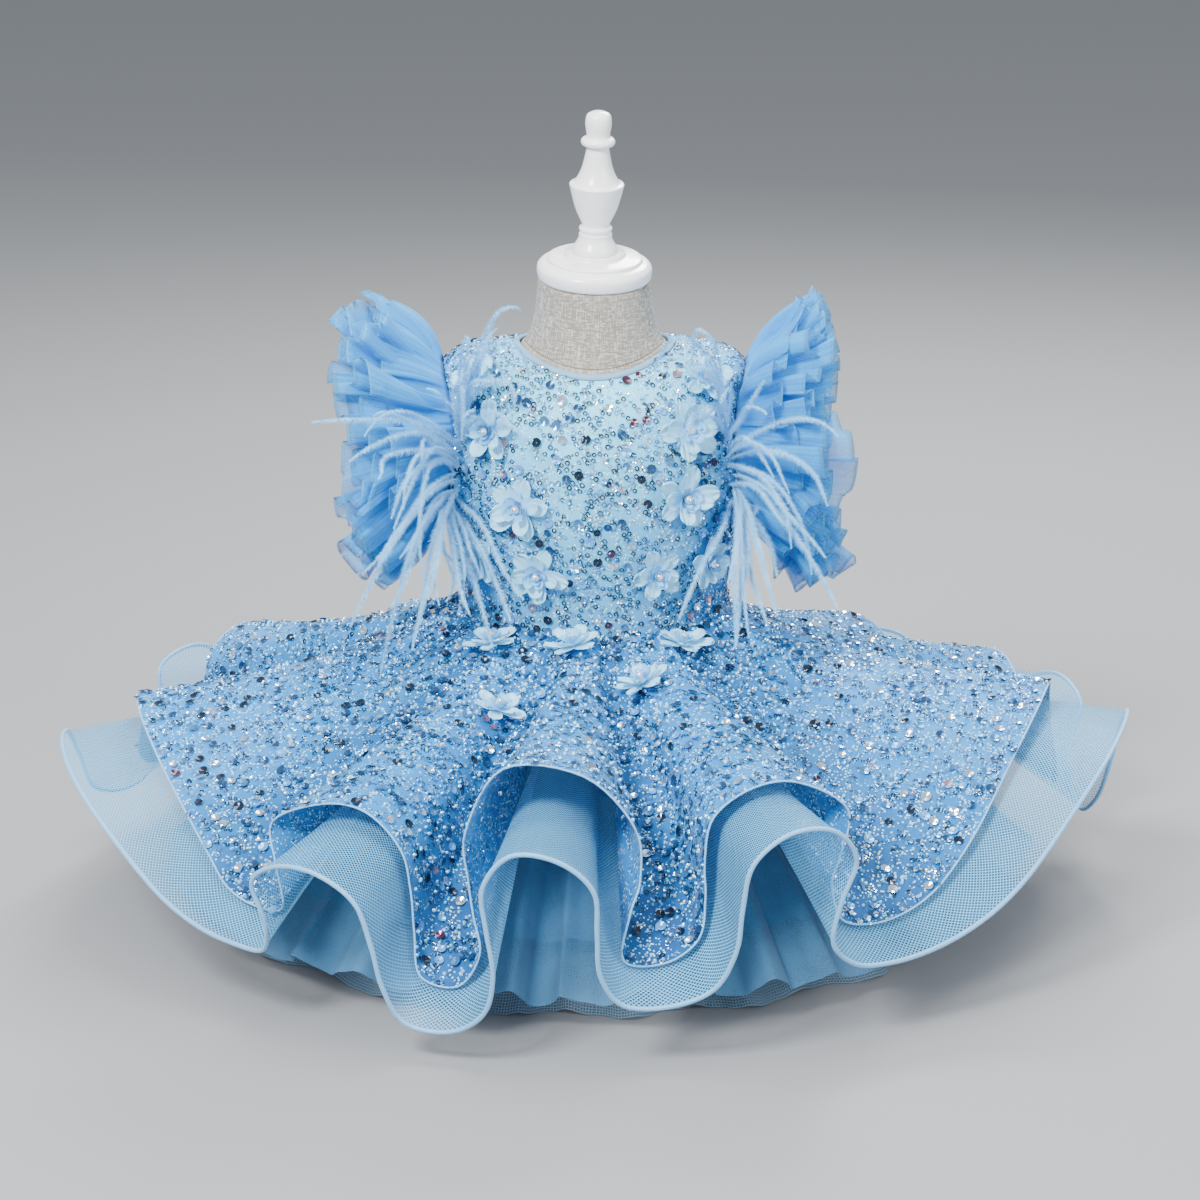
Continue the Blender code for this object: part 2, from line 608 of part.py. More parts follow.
SKIN_TURNS = 72
skin_points = []
for row in range(WAIST_ROW, NECK_ROW + 1):
    for k in range(SKIN_TURNS):
        degrees = 360 * k / SKIN_TURNS
        off = torso_normal(row, degrees) * (BODICE_GAP + BODICE_WALL)
        skin_points.append(torso_point(row, degrees) + off)
SKIN = tree_of(skin_points, grid_faces(NECK_ROW - WAIST_ROW + 1, SKIN_TURNS, True))

for side in (-1, 1):
    for ruffle in RUFFLES:
        build_ruffle(side, ruffle, SKIN)
build_flowers(SKIN, SKIRT)
build_feathers("feathers_left", -1, LEFT_STRANDS, SKIN)
build_feathers("feathers_right", 1, RIGHT_STRANDS, SKIN)
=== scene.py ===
# Looks of a child's feather dress on its limbless linen dress form.
# Metres, +Z up, front towards -Y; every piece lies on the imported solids' form.
import math
from collections import namedtuple

import bpy
import numpy as np
from mathutils import Matrix, Vector
from mathutils.bvhtree import BVHTree
from mathutils.kdtree import KDTree


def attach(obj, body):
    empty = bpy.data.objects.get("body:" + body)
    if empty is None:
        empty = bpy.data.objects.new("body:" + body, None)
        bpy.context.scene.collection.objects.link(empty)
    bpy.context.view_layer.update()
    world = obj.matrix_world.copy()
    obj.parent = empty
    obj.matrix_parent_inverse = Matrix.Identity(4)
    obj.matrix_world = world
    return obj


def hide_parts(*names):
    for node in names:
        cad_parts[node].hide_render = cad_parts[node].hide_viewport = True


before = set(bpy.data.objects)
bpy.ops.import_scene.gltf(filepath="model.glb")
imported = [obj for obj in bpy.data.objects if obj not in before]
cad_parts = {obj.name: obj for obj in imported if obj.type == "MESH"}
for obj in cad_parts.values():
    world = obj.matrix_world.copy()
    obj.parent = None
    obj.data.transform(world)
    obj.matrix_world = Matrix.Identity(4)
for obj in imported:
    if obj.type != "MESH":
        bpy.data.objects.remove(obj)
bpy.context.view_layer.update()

CHANCE = np.random.default_rng(21)

# Camera and light
CAMERA_PLACE = (0.004, -2.511, 0.881)
CAMERA_PITCH = 15
LENS = 111
FLOOR_SIZE = 40
SKY_COLOUR = (0.80, 0.86, 0.94, 1)
SKY_STRENGTH = 0.66
Light = namedtuple("Light", "name place aim size watts")
LIGHTS = [
    Light("key", (-1.1, -1.9, 2.0), (0, 0, 0.2), 0.7, 150),
    Light("fill", (1.7, -1.5, 1.1), (0, 0, 0.2), 1.2, 36),
    Light("rim", (0.5, 1.7, 1.8), (0, 0, 0.25), 0.8, 66),
    Light("top", (0.0, -0.2, 2.4), (0, 0, 0.2), 1.2, 42),
]

# The body and its bodice, as the solids have them: one row per section, floor to neck.
Section = namedtuple("Section", "half front back side_z front_z back_z")
TORSO = [
    Section(0.0920, 0.0770, 0.0770, 0.0000, 0.0000, 0.0000),
    Section(0.0940, 0.0790, 0.0790, 0.0030, 0.0030, 0.0030),
    Section(0.1010, 0.0860, 0.0860, 0.0900, 0.0900, 0.0900),
    Section(0.0935, 0.0760, 0.0750, 0.1600, 0.1600, 0.1600),
    Section(0.0890, 0.0705, 0.0700, 0.2050, 0.2050, 0.2050),
    Section(0.0930, 0.0750, 0.0710, 0.2450, 0.2450, 0.2450),
    Section(0.1000, 0.0800, 0.0740, 0.2850, 0.2850, 0.2850),
    Section(0.1045, 0.0790, 0.0770, 0.3200, 0.3200, 0.3200),
    Section(0.1050, 0.0715, 0.0750, 0.3500, 0.3460, 0.3500),
    Section(0.1025, 0.0630, 0.0670, 0.3720, 0.3610, 0.3680),
    Section(0.0940, 0.0580, 0.0590, 0.3830, 0.3660, 0.3790),
    Section(0.0750, 0.0535, 0.0520, 0.3870, 0.3700, 0.3840),
    Section(0.0555, 0.0500, 0.0460, 0.3890, 0.3735, 0.3880),
    Section(0.0465, 0.0440, 0.0420, 0.3970, 0.3850, 0.3970),
    Section(0.0415, 0.0400, 0.0395, 0.4120, 0.4060, 0.4140),
    Section(0.0385, 0.0385, 0.0385, 0.4370, 0.4315, 0.4425),
]
WAIST_ROW = 4
UNDERARM_ROW = 6
SHOULDER_ROW = 9
NECK_ROW = 12
NECK_SEAM_ROW = 12.84
NECK_SEAM_DEPTH = 0.0009
NECK_SEAM_SWELL = 0.0005
ARMHOLE_EDGE = [78, 77, 74, 64, 65, 78, 80, 82, 84]
BODICE_OUT = 0.0040
BODICE_HEM = 0.2044
HEM_TUCK = 0.0026
CAP_TILT = 8.5
CAP_LEAN = 1.6
NECK_TOP = 0.437
WAIST_TOP = 0.215
TORSO_PARTS = 10
TORSO_TURNS = 120
BODICE_PARTS = 6
BODICE_COLUMNS = 180
CAP_SPINS = 72

# Once round the neck binding's fold: how many fine rows up from its lower edge, and how far out.
BINDING_FOLD = [
    (0, 0.0040), (1, 0.0046), (2, 0.0047), (3, 0.0044), (4, 0.0038),
    (5, 0.0030), (5, 0.0018), (4, 0.0012), (2, 0.0010), (0, 0.0010),
]

# The skirt, as the solids have it.
WAIST_X = 0.0922
WAIST_Y = 0.0738
WAIST_Z = 0.2034
WAIST_STEP = 0.0020
Fold = namedtuple("Fold", "az rise left_top left_neck right_top right_neck foot_az foot_z foot_half "
                  "lift_left lift_top lift_right")
FOLDS = [
    Fold(-81, 0.122, 10, 13, 17, 30, -40, 0.052, 4.0, 0.010, 0.016, 0.008),
    Fold(-29.0, 0.125, 5.6, 4.9, 6.5, 8.2, -15.9, 0.021, 3.2, 0.024, 0.014, 0.006),
    Fold(-6.4, 0.150, 3.9, 3.2, 6.3, 6.9, 6.2, 0.041, 3.8, 0.022, 0.034, 0.028),
    Fold(20.4, 0.159, 5.8, 6.9, 5.0, 3.2, 33.0, 0.050, 5.0, 0.010, 0.008, 0.022),
    Fold(77, 0.146, 16, 29, 10, 13, 97, 0.042, 4.0, 0.008, 0.012, 0.010),
    Fold(112, 0.112, 6.5, 6.0, 6.5, 6.0, 127, 0.030, 4.0, 0.010, 0.012, 0.010),
    Fold(143, 0.102, 6.5, 6.0, 6.5, 6.0, 158, 0.026, 4.0, 0.010, 0.012, 0.010),
    Fold(174, 0.100, 6.5, 6.0, 6.5, 6.0, 189, 0.026, 4.0, 0.010, 0.012, 0.010),
    Fold(205, 0.102, 6.5, 6.0, 6.5, 6.0, 220, 0.030, 4.0, 0.010, 0.012, 0.010),
    Fold(236, 0.114, 6.5, 6.0, 6.5, 6.0, 253, 0.040, 4.0, 0.010, 0.014, 0.010),
]
CREST = (0.384, -0.010, 0.80)
FOOT = (0.362, 0.012, 0.92)
SIDE_NARROWING = 0.028
FOOT_LIFT = 0.0030
BAND_START = 0.74
CORD_RADIUS = 0.0015
SKIRT_COLUMNS = 116
ACROSS = 6
DOWN = 6

# Soft troughs and ridges of the sequined tier: degrees round, depth, width in
# degrees and how far down the way to the hem each one fades.
Crease = namedtuple("Crease", "az depth width reach")
CREASES = [
    Crease(-72, 0.0022, 2.6, 0.62), Crease(-61, -0.0026, 2.2, 0.48), Crease(-52, 0.0018, 3.0, 0.75),
    Crease(-43, -0.0032, 2.4, 0.58), Crease(-35, 0.0024, 1.9, 0.44), Crease(-24, -0.0024, 2.2, 0.66),
    Crease(-17, 0.0026, 1.8, 0.50), Crease(-11, -0.0030, 2.0, 0.40), Crease(-2, 0.0020, 1.7, 0.55),
    Crease(4, -0.0034, 2.3, 0.60), Crease(12, 0.0024, 1.8, 0.42), Crease(17, -0.0022, 1.6, 0.52),
    Crease(27, 0.0020, 2.2, 0.64), Crease(34, -0.0030, 2.5, 0.50), Crease(44, 0.0026, 2.1, 0.46),
    Crease(53, -0.0020, 2.8, 0.70), Crease(63, 0.0028, 2.2, 0.52), Crease(75, -0.0026, 2.6, 0.60),
]

# Ridges and troughs of the underskirts at their hems, as shares of a layer's own depth.
HEM_FOLDS = [
    Crease(-84, 0.9, 5.2, 1), Crease(-75, -0.8, 4.4, 1), Crease(-67, 1.1, 3.6, 1),
    Crease(-60, -0.7, 4.8, 1), Crease(-53, 0.8, 3.4, 1), Crease(-47, -1.0, 4.0, 1),
    Crease(-40, 1.2, 2.8, 1), Crease(-35, -0.9, 3.2, 1), Crease(-30, 0.7, 2.2, 1),
    Crease(-26, -0.6, 2.6, 1), Crease(-21, 1.3, 3.0, 1), Crease(-15, -1.0, 2.8, 1),
    Crease(-10.5, 0.9, 1.9, 1), Crease(-7, -0.8, 2.0, 1), Crease(-3.5, 1.2, 2.3, 1),
    Crease(1, -0.9, 2.6, 1), Crease(5.5, 0.8, 2.1, 1), Crease(10, -1.1, 2.7, 1),
    Crease(14.5, 1.2, 2.4, 1), Crease(18.5, -0.7, 1.8, 1), Crease(22, 0.9, 2.0, 1),
    Crease(26, -1.0, 2.5, 1), Crease(31, 1.1, 2.9, 1), Crease(37, -0.9, 3.3, 1),
    Crease(43, 0.8, 3.0, 1), Crease(50, -1.0, 3.8, 1), Crease(57, 1.0, 3.2, 1),
    Crease(64, -0.8, 4.2, 1), Crease(72, 1.1, 3.9, 1), Crease(80, -0.7, 4.6, 1),
    Crease(88, 0.9, 4.0, 1),
]

# Gathered underskirts: reach and height down the profile, waves growing towards the hem.
Layer = namedtuple("Layer", "name look waves amplitude step profile flutter")
LAYERS = [
    Layer("petticoat_tulle", "sky_tulle", 18, 0.0080, 2,
          [(0, 0), (0.160, 0.140), (0.235, 0.084), (0.300, 0.024)], 0.0100),
    Layer("skirt_lining", "satin", 12, 0.0040, 3, [(0, 0), (0.160, 0.124), (0.250, 0.047)], 0.0030),
    Layer("petticoat_net", "stiff_net", 18, 0.0070, 4,
          [(0, 0), (0.150, 0.112), (0.225, 0.046), (0.266, 0.0007)], 0.0040),
]

# The ruffles of each armhole, as the solids have their outer and inner rings, with a short
# ring laid over the outer one and one between the two.
Ruffle = namedtuple("Ruffle", "suffix loop up front down length fan pleats")
RUFFLES = [
    Ruffle("cover", 0.0034, 0.86, 1.02, 1.20, 0.054, 0.0084, 18),
    Ruffle("outer", 0.0, 0.95, 0.80, 1.35, 0.074, 0.0090, 19),
    Ruffle("middle", -0.0010, 0.78, 0.52, 1.05, 0.078, 0.0085, 17),
    Ruffle("inner", -0.0018, 0.62, 0.28, 0.80, 0.078, 0.0085, 16),
]
LOOP_Z = 0.329
LOOP_HALF_Z = 0.047
LOOP_HALF_Y = 0.036
PLEAT_COLUMNS = 22
PLY_ROWS = 13
PLY_GAP = 0.0015

# How much shorter each side's ruffles are above and below the middle of the armhole
RUFFLE_TRIMS = {-1: (0.09, 0.09), 1: (0.20, -0.02)}

# How far a pleat strays from a plain fan
PLEAT_SWING = 0.0048
PLEAT_LEAN = 0.0065
PLEAT_BOW = 0.0085
PLEAT_CURL = 0.0052
PLEAT_GATHER = 0.0019
PLEAT_SWAY = 0.0070
PLEAT_BEND = 0.0080

# The ostrich strands of each armhole: their order up the strip, the tip from the root, the arch.
Strand = namedtuple("Strand", "root out front up arch")
LEFT_STRANDS = [
    Strand(1.00, -0.054, 0.030, 0.074, 0.034),
    Strand(0.97, -0.058, 0.038, 0.052, 0.040),
    Strand(0.94, -0.030, 0.036, 0.060, 0.018),
    Strand(0.91, -0.052, 0.042, 0.034, 0.026),
    Strand(0.88, -0.012, 0.030, 0.058, 0.008),
    Strand(0.85, -0.044, 0.044, 0.022, 0.018),
    Strand(0.81, 0.004, 0.034, 0.046, 0.008),
    Strand(0.77, 0.088, 0.060, 0.032, 0.024),
    Strand(0.73, 0.058, 0.066, 0.030, 0.016),
    Strand(0.68, 0.056, 0.070, 0.006, 0.020),
    Strand(0.63, 0.034, 0.070, -0.020, 0.030),
    Strand(0.58, 0.056, 0.076, -0.086, 0.034),
    Strand(0.53, 0.042, 0.078, -0.060, 0.030),
    Strand(0.48, 0.018, 0.076, -0.090, 0.022),
    Strand(0.43, 0.024, 0.070, -0.050, 0.018),
    Strand(0.38, -0.010, 0.066, -0.080, 0.014),
    Strand(0.33, -0.044, 0.058, -0.040, 0.012),
    Strand(0.28, -0.050, 0.054, -0.074, 0.014),
    Strand(0.22, -0.036, 0.056, -0.092, 0.012),
    Strand(0.15, 0.014, 0.066, -0.060, 0.008),
    Strand(0.07, -0.022, 0.060, -0.052, 0.006),
]
RIGHT_STRANDS = [
    Strand(1.00, -0.056, 0.024, 0.046, 0.040),
    Strand(0.95, -0.040, 0.032, 0.030, 0.034),
    Strand(0.90, -0.022, 0.036, 0.048, 0.020),
    Strand(0.84, -0.040, 0.042, 0.014, 0.022),
    Strand(0.78, 0.022, 0.040, 0.048, 0.010),
    Strand(0.72, 0.064, 0.060, 0.038, 0.016),
    Strand(0.66, 0.060, 0.066, -0.002, 0.022),
    Strand(0.59, 0.048, 0.072, -0.040, 0.022),
    Strand(0.52, 0.058, 0.076, -0.076, 0.018),
    Strand(0.45, 0.014, 0.070, -0.060, 0.016),
    Strand(0.38, -0.008, 0.066, -0.088, 0.012),
    Strand(0.30, -0.030, 0.060, -0.056, 0.010),
    Strand(0.22, -0.006, 0.060, -0.080, 0.010),
    Strand(0.14, 0.026, 0.068, -0.044, 0.008),
    Strand(0.06, 0.004, 0.062, -0.050, 0.006),
]
STRIP_HALF_Y = 0.0475
STRIP_HALF_Z = 0.0550
STRIP_START = -62
STRIP_SPAN = 94
SHAFT_STEPS = 26
SHAFT_SIDES = 3
SHAFT_RADII = (0.00042, 0.00014)
BARB_RADIUS = 0.00020
BARB_PITCH = 0.00036
BARB_ARMS = 4

# A strand and the shorter one beside it: size, how far it strays and its longest barb.
Kin = namedtuple("Kin", "size stray barb")
KINS = [Kin(1.0, 0.0, 0.0044), Kin(0.62, 0.022, 0.0034)]

# How much cloth mirrors, as a share of plastic, and how far apart the band's threads lie
CLOTH_SHINE = 0.15
MESH_PITCH = 0.0034

# Sequins, beads and pearls
RING_RADIUS = 0.0017
RING_PITCH = 0.0042
DISC_RADIUS = 0.0031
PEARL_RADIUS = 0.00135

# Sewn pieces to a square metre of cloth, before those that would overlap are left out
BODICE_DISCS = 3600
BODICE_RINGS = 17000
BODICE_PEARLS = 9000
SKIRT_DISCS = 5800
SKIRT_RINGS = 10600
SKIRT_PEARLS = 10500
SKIRT_BUGLES = 9000


# A number that varies over a surface: arithmetic on it adds the Math nodes.
class Varying:
    def __init__(self, look, socket):
        self.look = look
        self.socket = socket

    def math(self, operation, first, second=0.0):
        return self.look.add("ShaderNodeMath", {"operation": operation}, [first, second])

    def __add__(self, other):
        return self.math("ADD", self, other)

    def __sub__(self, other):
        return self.math("SUBTRACT", self, other)

    def __rsub__(self, other):
        return self.math("SUBTRACT", other, self)

    def __mul__(self, other):
        return self.math("MULTIPLY", self, other)

    def __gt__(self, other):
        return self.math("GREATER_THAN", self, other)

    def __or__(self, other):
        return self.math("MAXIMUM", self, other)

    def sine(self):
        return self.math("SINE", self)

    __radd__ = __add__
    __rmul__ = __mul__


# A material: constants go on the shader's own sockets, what varies comes from added nodes.
class Look:
    def __init__(self, name, colour, roughness, **constants):
        self.material = bpy.data.materials.new(name)
        self.material.use_nodes = True
        self.tree = self.material.node_tree
        self.shader = self.tree.nodes["Principled BSDF"]
        self.colour = (*colour, 1)
        self.feed("Base Color", self.colour)
        self.feed("Roughness", roughness)
        for socket, value in constants.items():
            self.feed(socket.replace("_", " "), value)

    def add(self, kind, settings=None, inputs=(), output=0):
        node = self.tree.nodes.new(kind)
        for key, value in (settings or {}).items():
            setattr(node, key, value)
        pairs = inputs.items() if isinstance(inputs, dict) else enumerate(inputs)
        for key, value in pairs:
            if isinstance(value, Varying):
                self.tree.links.new(value.socket, node.inputs[key])
            else:
                node.inputs[key].default_value = value
        return Varying(self, node.outputs[output])

    def feed(self, socket, value):
        if isinstance(value, Varying):
            self.tree.links.new(value.socket, self.shader.inputs[socket])
        else:
            self.shader.inputs[socket].default_value = value

    def place(self, metres_of_cloth=False):
        return self.add("ShaderNodeTexCoord", output="UV" if metres_of_cloth else "Object")

    def painted(self, name):
        return self.add("ShaderNodeAttribute", {"attribute_name": name}, output="Fac")

    def noise(self, scale, detail=3.0, where=None, stretch=None):
        where = where or self.place()
        if stretch:
            where = self.add("ShaderNodeVectorMath", {"operation": "MULTIPLY"}, [where, stretch])
        return self.add("ShaderNodeTexNoise", {}, {"Vector": where, "Scale": scale, "Detail": detail})

    def tint(self, factor, other, base=None):
        inputs = {0: factor, 6: base or self.colour, 7: (*other, 1)}
        return self.add("ShaderNodeMix", {"data_type": "RGBA"}, inputs, output=2)

    def bump(self, height, strength, distance):
        inputs = {"Height": height, "Strength": strength, "Distance": distance}
        self.feed("Normal", self.add("ShaderNodeBump", {}, inputs))


def linen():
    look = Look("linen", (0.60, 0.58, 0.53), 0.88, Specular_IOR_Level=CLOTH_SHINE, Sheen_Weight=0.15)
    cloth = look.place(True)
    across = look.noise(1.0, 2.0, cloth, (160, 1500, 1))
    along = look.noise(1.0, 2.0, cloth, (1500, 160, 1))
    coarse = look.noise(1.0, 2.0, cloth, (70, 620, 1)) + look.noise(1.0, 2.0, cloth, (620, 70, 1))
    weave = across * 0.5 + along * 0.5 + coarse * 0.5
    slubs = look.noise(1.0, 3.0, cloth, (60, 800, 1)) > 0.64
    patch = look.noise(28, 4.0)
    shade = look.tint((weave - 0.82) * 4.4, (0.24, 0.215, 0.18))
    shade = look.tint(slubs * 0.6, (0.22, 0.195, 0.16), shade)
    look.feed("Base Color", look.tint((patch - 0.45) * 0.8, (0.47, 0.43, 0.35), shade))
    look.bump(weave, 0.8, 0.0005)
    return look.material


def white_paint():
    look = Look("white_paint", (0.97, 0.97, 0.96), 0.30, Coat_Weight=0.35, Coat_Roughness=0.12)
    wear = look.noise(60, 5.0)
    look.feed("Base Color", look.tint((wear - 0.62) * 1.2, (0.84, 0.84, 0.82)))
    look.feed("Roughness", 0.24 + wear * 0.14)
    look.bump(look.noise(240, 2.0), 0.10, 0.0003)
    return look.material


# Net with tiny seed beads and dark cut beads worked over it. Painted shade, as each piece paints it,
# darkens the net in its folds' valleys, at its sides and near the waist.
def beaded_net(name, colour, painted_shade_colour, bead_colour, alpha):
    look = Look(name, colour, 0.55, Specular_IOR_Level=CLOTH_SHINE, Sheen_Weight=0.08)
    cells = look.add("ShaderNodeTexVoronoi", {}, {"Vector": look.place(), "Scale": 430.0})
    darks = look.add("ShaderNodeTexVoronoi", {}, {"Vector": look.place(), "Scale": 330.0})
    pick = look.noise(160, 2.0)
    beads = look.add("ShaderNodeClamp", {}, [(0.38 - cells) * 9.0 * (pick > 0.47)])
    cuts = look.add("ShaderNodeClamp", {}, [(0.26 - darks) * 12.0 * (0.53 - pick)])
    painted_shade = look.painted("Valley")
    cloud = look.noise(24, 3.0)
    # Painted shade: the net darkens to its second colour where the piece's painted shade is high; the cloud
    # is the net's own uneven tone.
    shade = look.tint(painted_shade * 0.8 + (cloud - 0.5) * 0.7, painted_shade_colour)
    shade = look.tint(cuts * 1.3, (0.02, 0.06, 0.14), shade)
    look.feed("Base Color", look.tint(beads, bead_colour, shade))
    look.feed("Alpha", (beads | alpha))
    look.feed("Roughness", 0.62 - beads * 0.4)
    look.bump(beads, 0.6, 0.0006)
    return look.material


# Fine tulle: an even haze that thickens where the light catches its grain.
def tulle(name, colour, alpha):
    look = Look(name, colour, 0.72, Specular_IOR_Level=CLOTH_SHINE, Sheen_Weight=0.15)
    cloud = look.noise(45, 3.0)
    grain = look.noise(1300, 1.0)
    look.feed("Base Color", look.tint((cloud - 0.42) * 0.9, tuple(min(1, c * 1.22) for c in colour)))
    look.feed("Alpha", alpha + (cloud - 0.5) * 0.22 + (grain - 0.5) * 0.30)
    look.bump(grain, 0.25, 0.0003)
    return look.material


# Ruffle tulle: dense at its gathers, a clear haze further out, with a denser folded edge. Painted shade
# darkens it towards the gathers, and a painted highlight lights the folded edge.
def ruffle_tulle():
    look = Look("sky_tulle", (0.015, 0.30, 0.76), 0.72, Specular_IOR_Level=CLOTH_SHINE,
                Sheen_Weight=0.12)
    reach = look.painted("Reach")
    cloud = look.noise(60, 3.0)
    grain = look.noise(1300, 1.0)
    edge = reach > 0.975
    streak = (look.noise(1.0, 2.0, look.place(True), (420, 9, 1)) - 0.5) * 1.1
    # Painted shade: darker towards the gathers at the root, paler towards the tip; the streaks and cloud
    # are the tulle's own uneven tone.
    shade = look.tint(0.12 + reach * 0.5 + (cloud - 0.5) * 0.6 + streak, (0.050, 0.52, 1.0))
    # A painted highlight on the folded edge.
    look.feed("Base Color", look.tint(edge * 0.3, (0.22, 0.60, 1.0), shade))
    look.feed("Alpha", 0.90 - reach * 0.54 + (grain - 0.5) * 0.24 + streak * 0.35 + edge * 0.20)
    look.bump(grain, 0.25, 0.0003)
    return look.material


# Woven nylon mesh on the bias: two sets of diagonal threads.
def horsehair_braid():
    look = Look("horsehair_braid", (0.04, 0.21, 0.44), 0.42, Specular_IOR_Level=CLOTH_SHINE,
                Sheen_Weight=0.1)
    spot = look.add("ShaderNodeSeparateXYZ", {}, [look.place(True)])
    across = Varying(look, spot.socket.node.outputs["X"])
    down = Varying(look, spot.socket.node.outputs["Y"])
    turns = 2 * math.pi / MESH_PITCH
    one = ((across + down * 1.25) * turns).sine()
    two = ((across - down * 1.25) * turns).sine()
    threads = look.add("ShaderNodeClamp", {}, [(one | two) * 2.2 - 0.9])
    cloud = look.noise(30, 3.0)
    look.feed("Base Color", look.tint(threads, (0.15, 0.54, 0.90)))
    look.feed("Alpha", 0.12 + threads * 0.74 + (cloud - 0.5) * 0.20)
    look.bump(threads, 0.5, 0.0004)
    return look.material


def satin():
    look = Look("satin", (0.060, 0.22, 0.42), 0.38, Sheen_Weight=0.25)
    look.feed("Roughness", 0.34 + look.noise(60, 2.0) * 0.14)
    look.feed("Base Color", look.tint((look.noise(18, 2.0) - 0.45) * 0.8, (0.08, 0.29, 0.52)))
    look.bump(look.noise(1.0, 1.0, look.place(True), (2600, 300, 1)), 0.12, 0.0003)
    return look.material


# Open hexagonal petticoat net.
def stiff_net():
    look = Look("stiff_net", (0.11, 0.19, 0.28), 0.75, Specular_IOR_Level=CLOTH_SHINE)
    cells = look.add("ShaderNodeTexVoronoi", {"feature": "DISTANCE_TO_EDGE"},
                     {"Vector": look.place(True), "Scale": 500.0, "Randomness": 0.25})
    threads = 1.0 - (cells > 0.16)
    look.feed("Alpha", 0.40 + threads * 0.50)
    look.feed("Base Color", look.tint(threads, (0.18, 0.30, 0.40)))
    return look.material


def chiffon(name, colour, alpha):
    look = Look(name, colour, 0.60, Specular_IOR_Level=CLOTH_SHINE, Sheen_Weight=0.12)
    cloud = look.noise(120, 3.0)
    look.feed("Base Color", look.tint((cloud - 0.45) * 1.0, tuple(min(1, c * 1.12) for c in colour)))
    look.feed("Alpha", alpha + (cloud - 0.5) * 0.30)
    look.bump(look.noise(900, 1.0), 0.15, 0.0003)
    return look.material


def ostrich():
    look = Look("ostrich", (0.28, 0.68, 0.98), 0.75, Specular_IOR_Level=CLOTH_SHINE, Sheen_Weight=0.3)
    look.feed("Base Color", look.tint((look.noise(60, 2.0) - 0.4) * 1.2, (0.09, 0.36, 0.76)))
    return look.material


def cord_braid(name, colour):
    look = Look(name, colour, 0.5, Sheen_Weight=0.3)
    plaits = look.noise(700, 1.0)
    look.feed("Base Color", look.tint((plaits - 0.45) * 1.2, tuple(min(1, c * 1.3) for c in colour)))
    look.bump(plaits, 0.6, 0.0006)
    return look.material


# Foiled plastic of a sequin: it dulls unevenly.
def foil(name, colour, metallic, roughness):
    look = Look(name, colour, roughness, Metallic=metallic, Coat_Weight=0.4, Coat_Roughness=0.08)
    look.feed("Roughness", roughness + (look.noise(300, 1.0) - 0.5) * 0.16)
    return look.material


def pearl():
    look = Look("pearl", (0.36, 0.72, 0.96), 0.20, Coat_Weight=1.0, Coat_Roughness=0.04, Metallic=0.25)
    look.feed("Base Color", look.tint((look.noise(140, 1.0) - 0.4) * 1.2, (0.30, 0.60, 0.92)))
    return look.material


LINEN = linen()
WHITE_PAINT = white_paint()
# The second colour of each sequined net is the painted shade it darkens to in folds, at its sides and near
# the waist.
BODICE_NET = beaded_net("sequined_net", (0.20, 0.74, 1.0), (0.022, 0.22, 0.56), (0.60, 0.95, 1.0), 1.0)
SKIRT_NET = beaded_net("sequined_net_skirt", (0.016, 0.26, 0.66), (0.002, 0.050, 0.20), (0.36, 0.80, 1.0),
                       0.90)
BINDING = tulle("binding", (0.24, 0.50, 0.74), 0.66)
RUFFLE_TULLE = ruffle_tulle()
UNDER_TULLE = tulle("sky_tulle_under", (0.050, 0.24, 0.52), 0.80)
PETTICOAT_TULLE = tulle("sky_tulle_petticoat", (0.085, 0.27, 0.48), 0.58)
HORSEHAIR = horsehair_braid()
HEM_CORD = cord_braid("horsehair_cord", (0.17, 0.43, 0.72))
BEADED_EDGE = cord_braid("rolled_hem", (0.20, 0.48, 0.78))
SATIN = satin()
STIFF_NET = stiff_net()
SEAM_THREAD = cord_braid("seam_thread", (0.11, 0.09, 0.07))
CHIFFON = chiffon("chiffon", (0.36, 0.78, 1.0), 0.92)
CHIFFON_CUP = chiffon("chiffon_cup", (0.20, 0.60, 0.96), 0.92)
OSTRICH = ostrich()
PEARL = pearl()
FLOWER_PEARL = foil("flower_pearl", (0.78, 0.75, 0.74), 0.45, 0.16)
CRYSTAL = foil("crystal", (0.92, 0.93, 0.95), 1.0, 0.12)
NAVY = foil("navy_foil", (0.012, 0.022, 0.045), 0.55, 0.20)
SLATE = foil("slate_foil", (0.022, 0.085, 0.21), 0.6, 0.26)
STEEL = foil("steel_foil", (0.075, 0.25, 0.50), 0.6, 0.24)
SILVER = foil("silver_foil", (0.78, 0.89, 0.97), 0.9, 0.16)
ICE = foil("ice_foil", (0.15, 0.46, 0.88), 0.5, 0.25)
PLUM = foil("plum_foil", (0.085, 0.022, 0.050), 0.5, 0.24)
ROSE = foil("rose_foil", (0.36, 0.24, 0.32), 0.6, 0.26)
SEQUIN_LOOKS = [NAVY, SLATE, STEEL, SILVER, ICE, PLUM, ROSE]


# Puts a piece on the one body and hides the solids it stands for.
def finish_piece(piece, slot, *solids):
    bpy.context.scene.collection.objects.link(piece)
    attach(piece, "root")
    if solids:
        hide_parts(*solids)
    return piece


def mesh_piece(name, points, faces, looks, slot, *solids):
    mesh = bpy.data.meshes.new(name)
    mesh.from_pydata(np.asarray(points).reshape(-1, 3).tolist(), [], np.asarray(faces).tolist())
    mesh.shade_smooth()
    for look in looks:
        mesh.materials.append(look)
    return finish_piece(bpy.data.objects.new(name, mesh), slot, *solids)


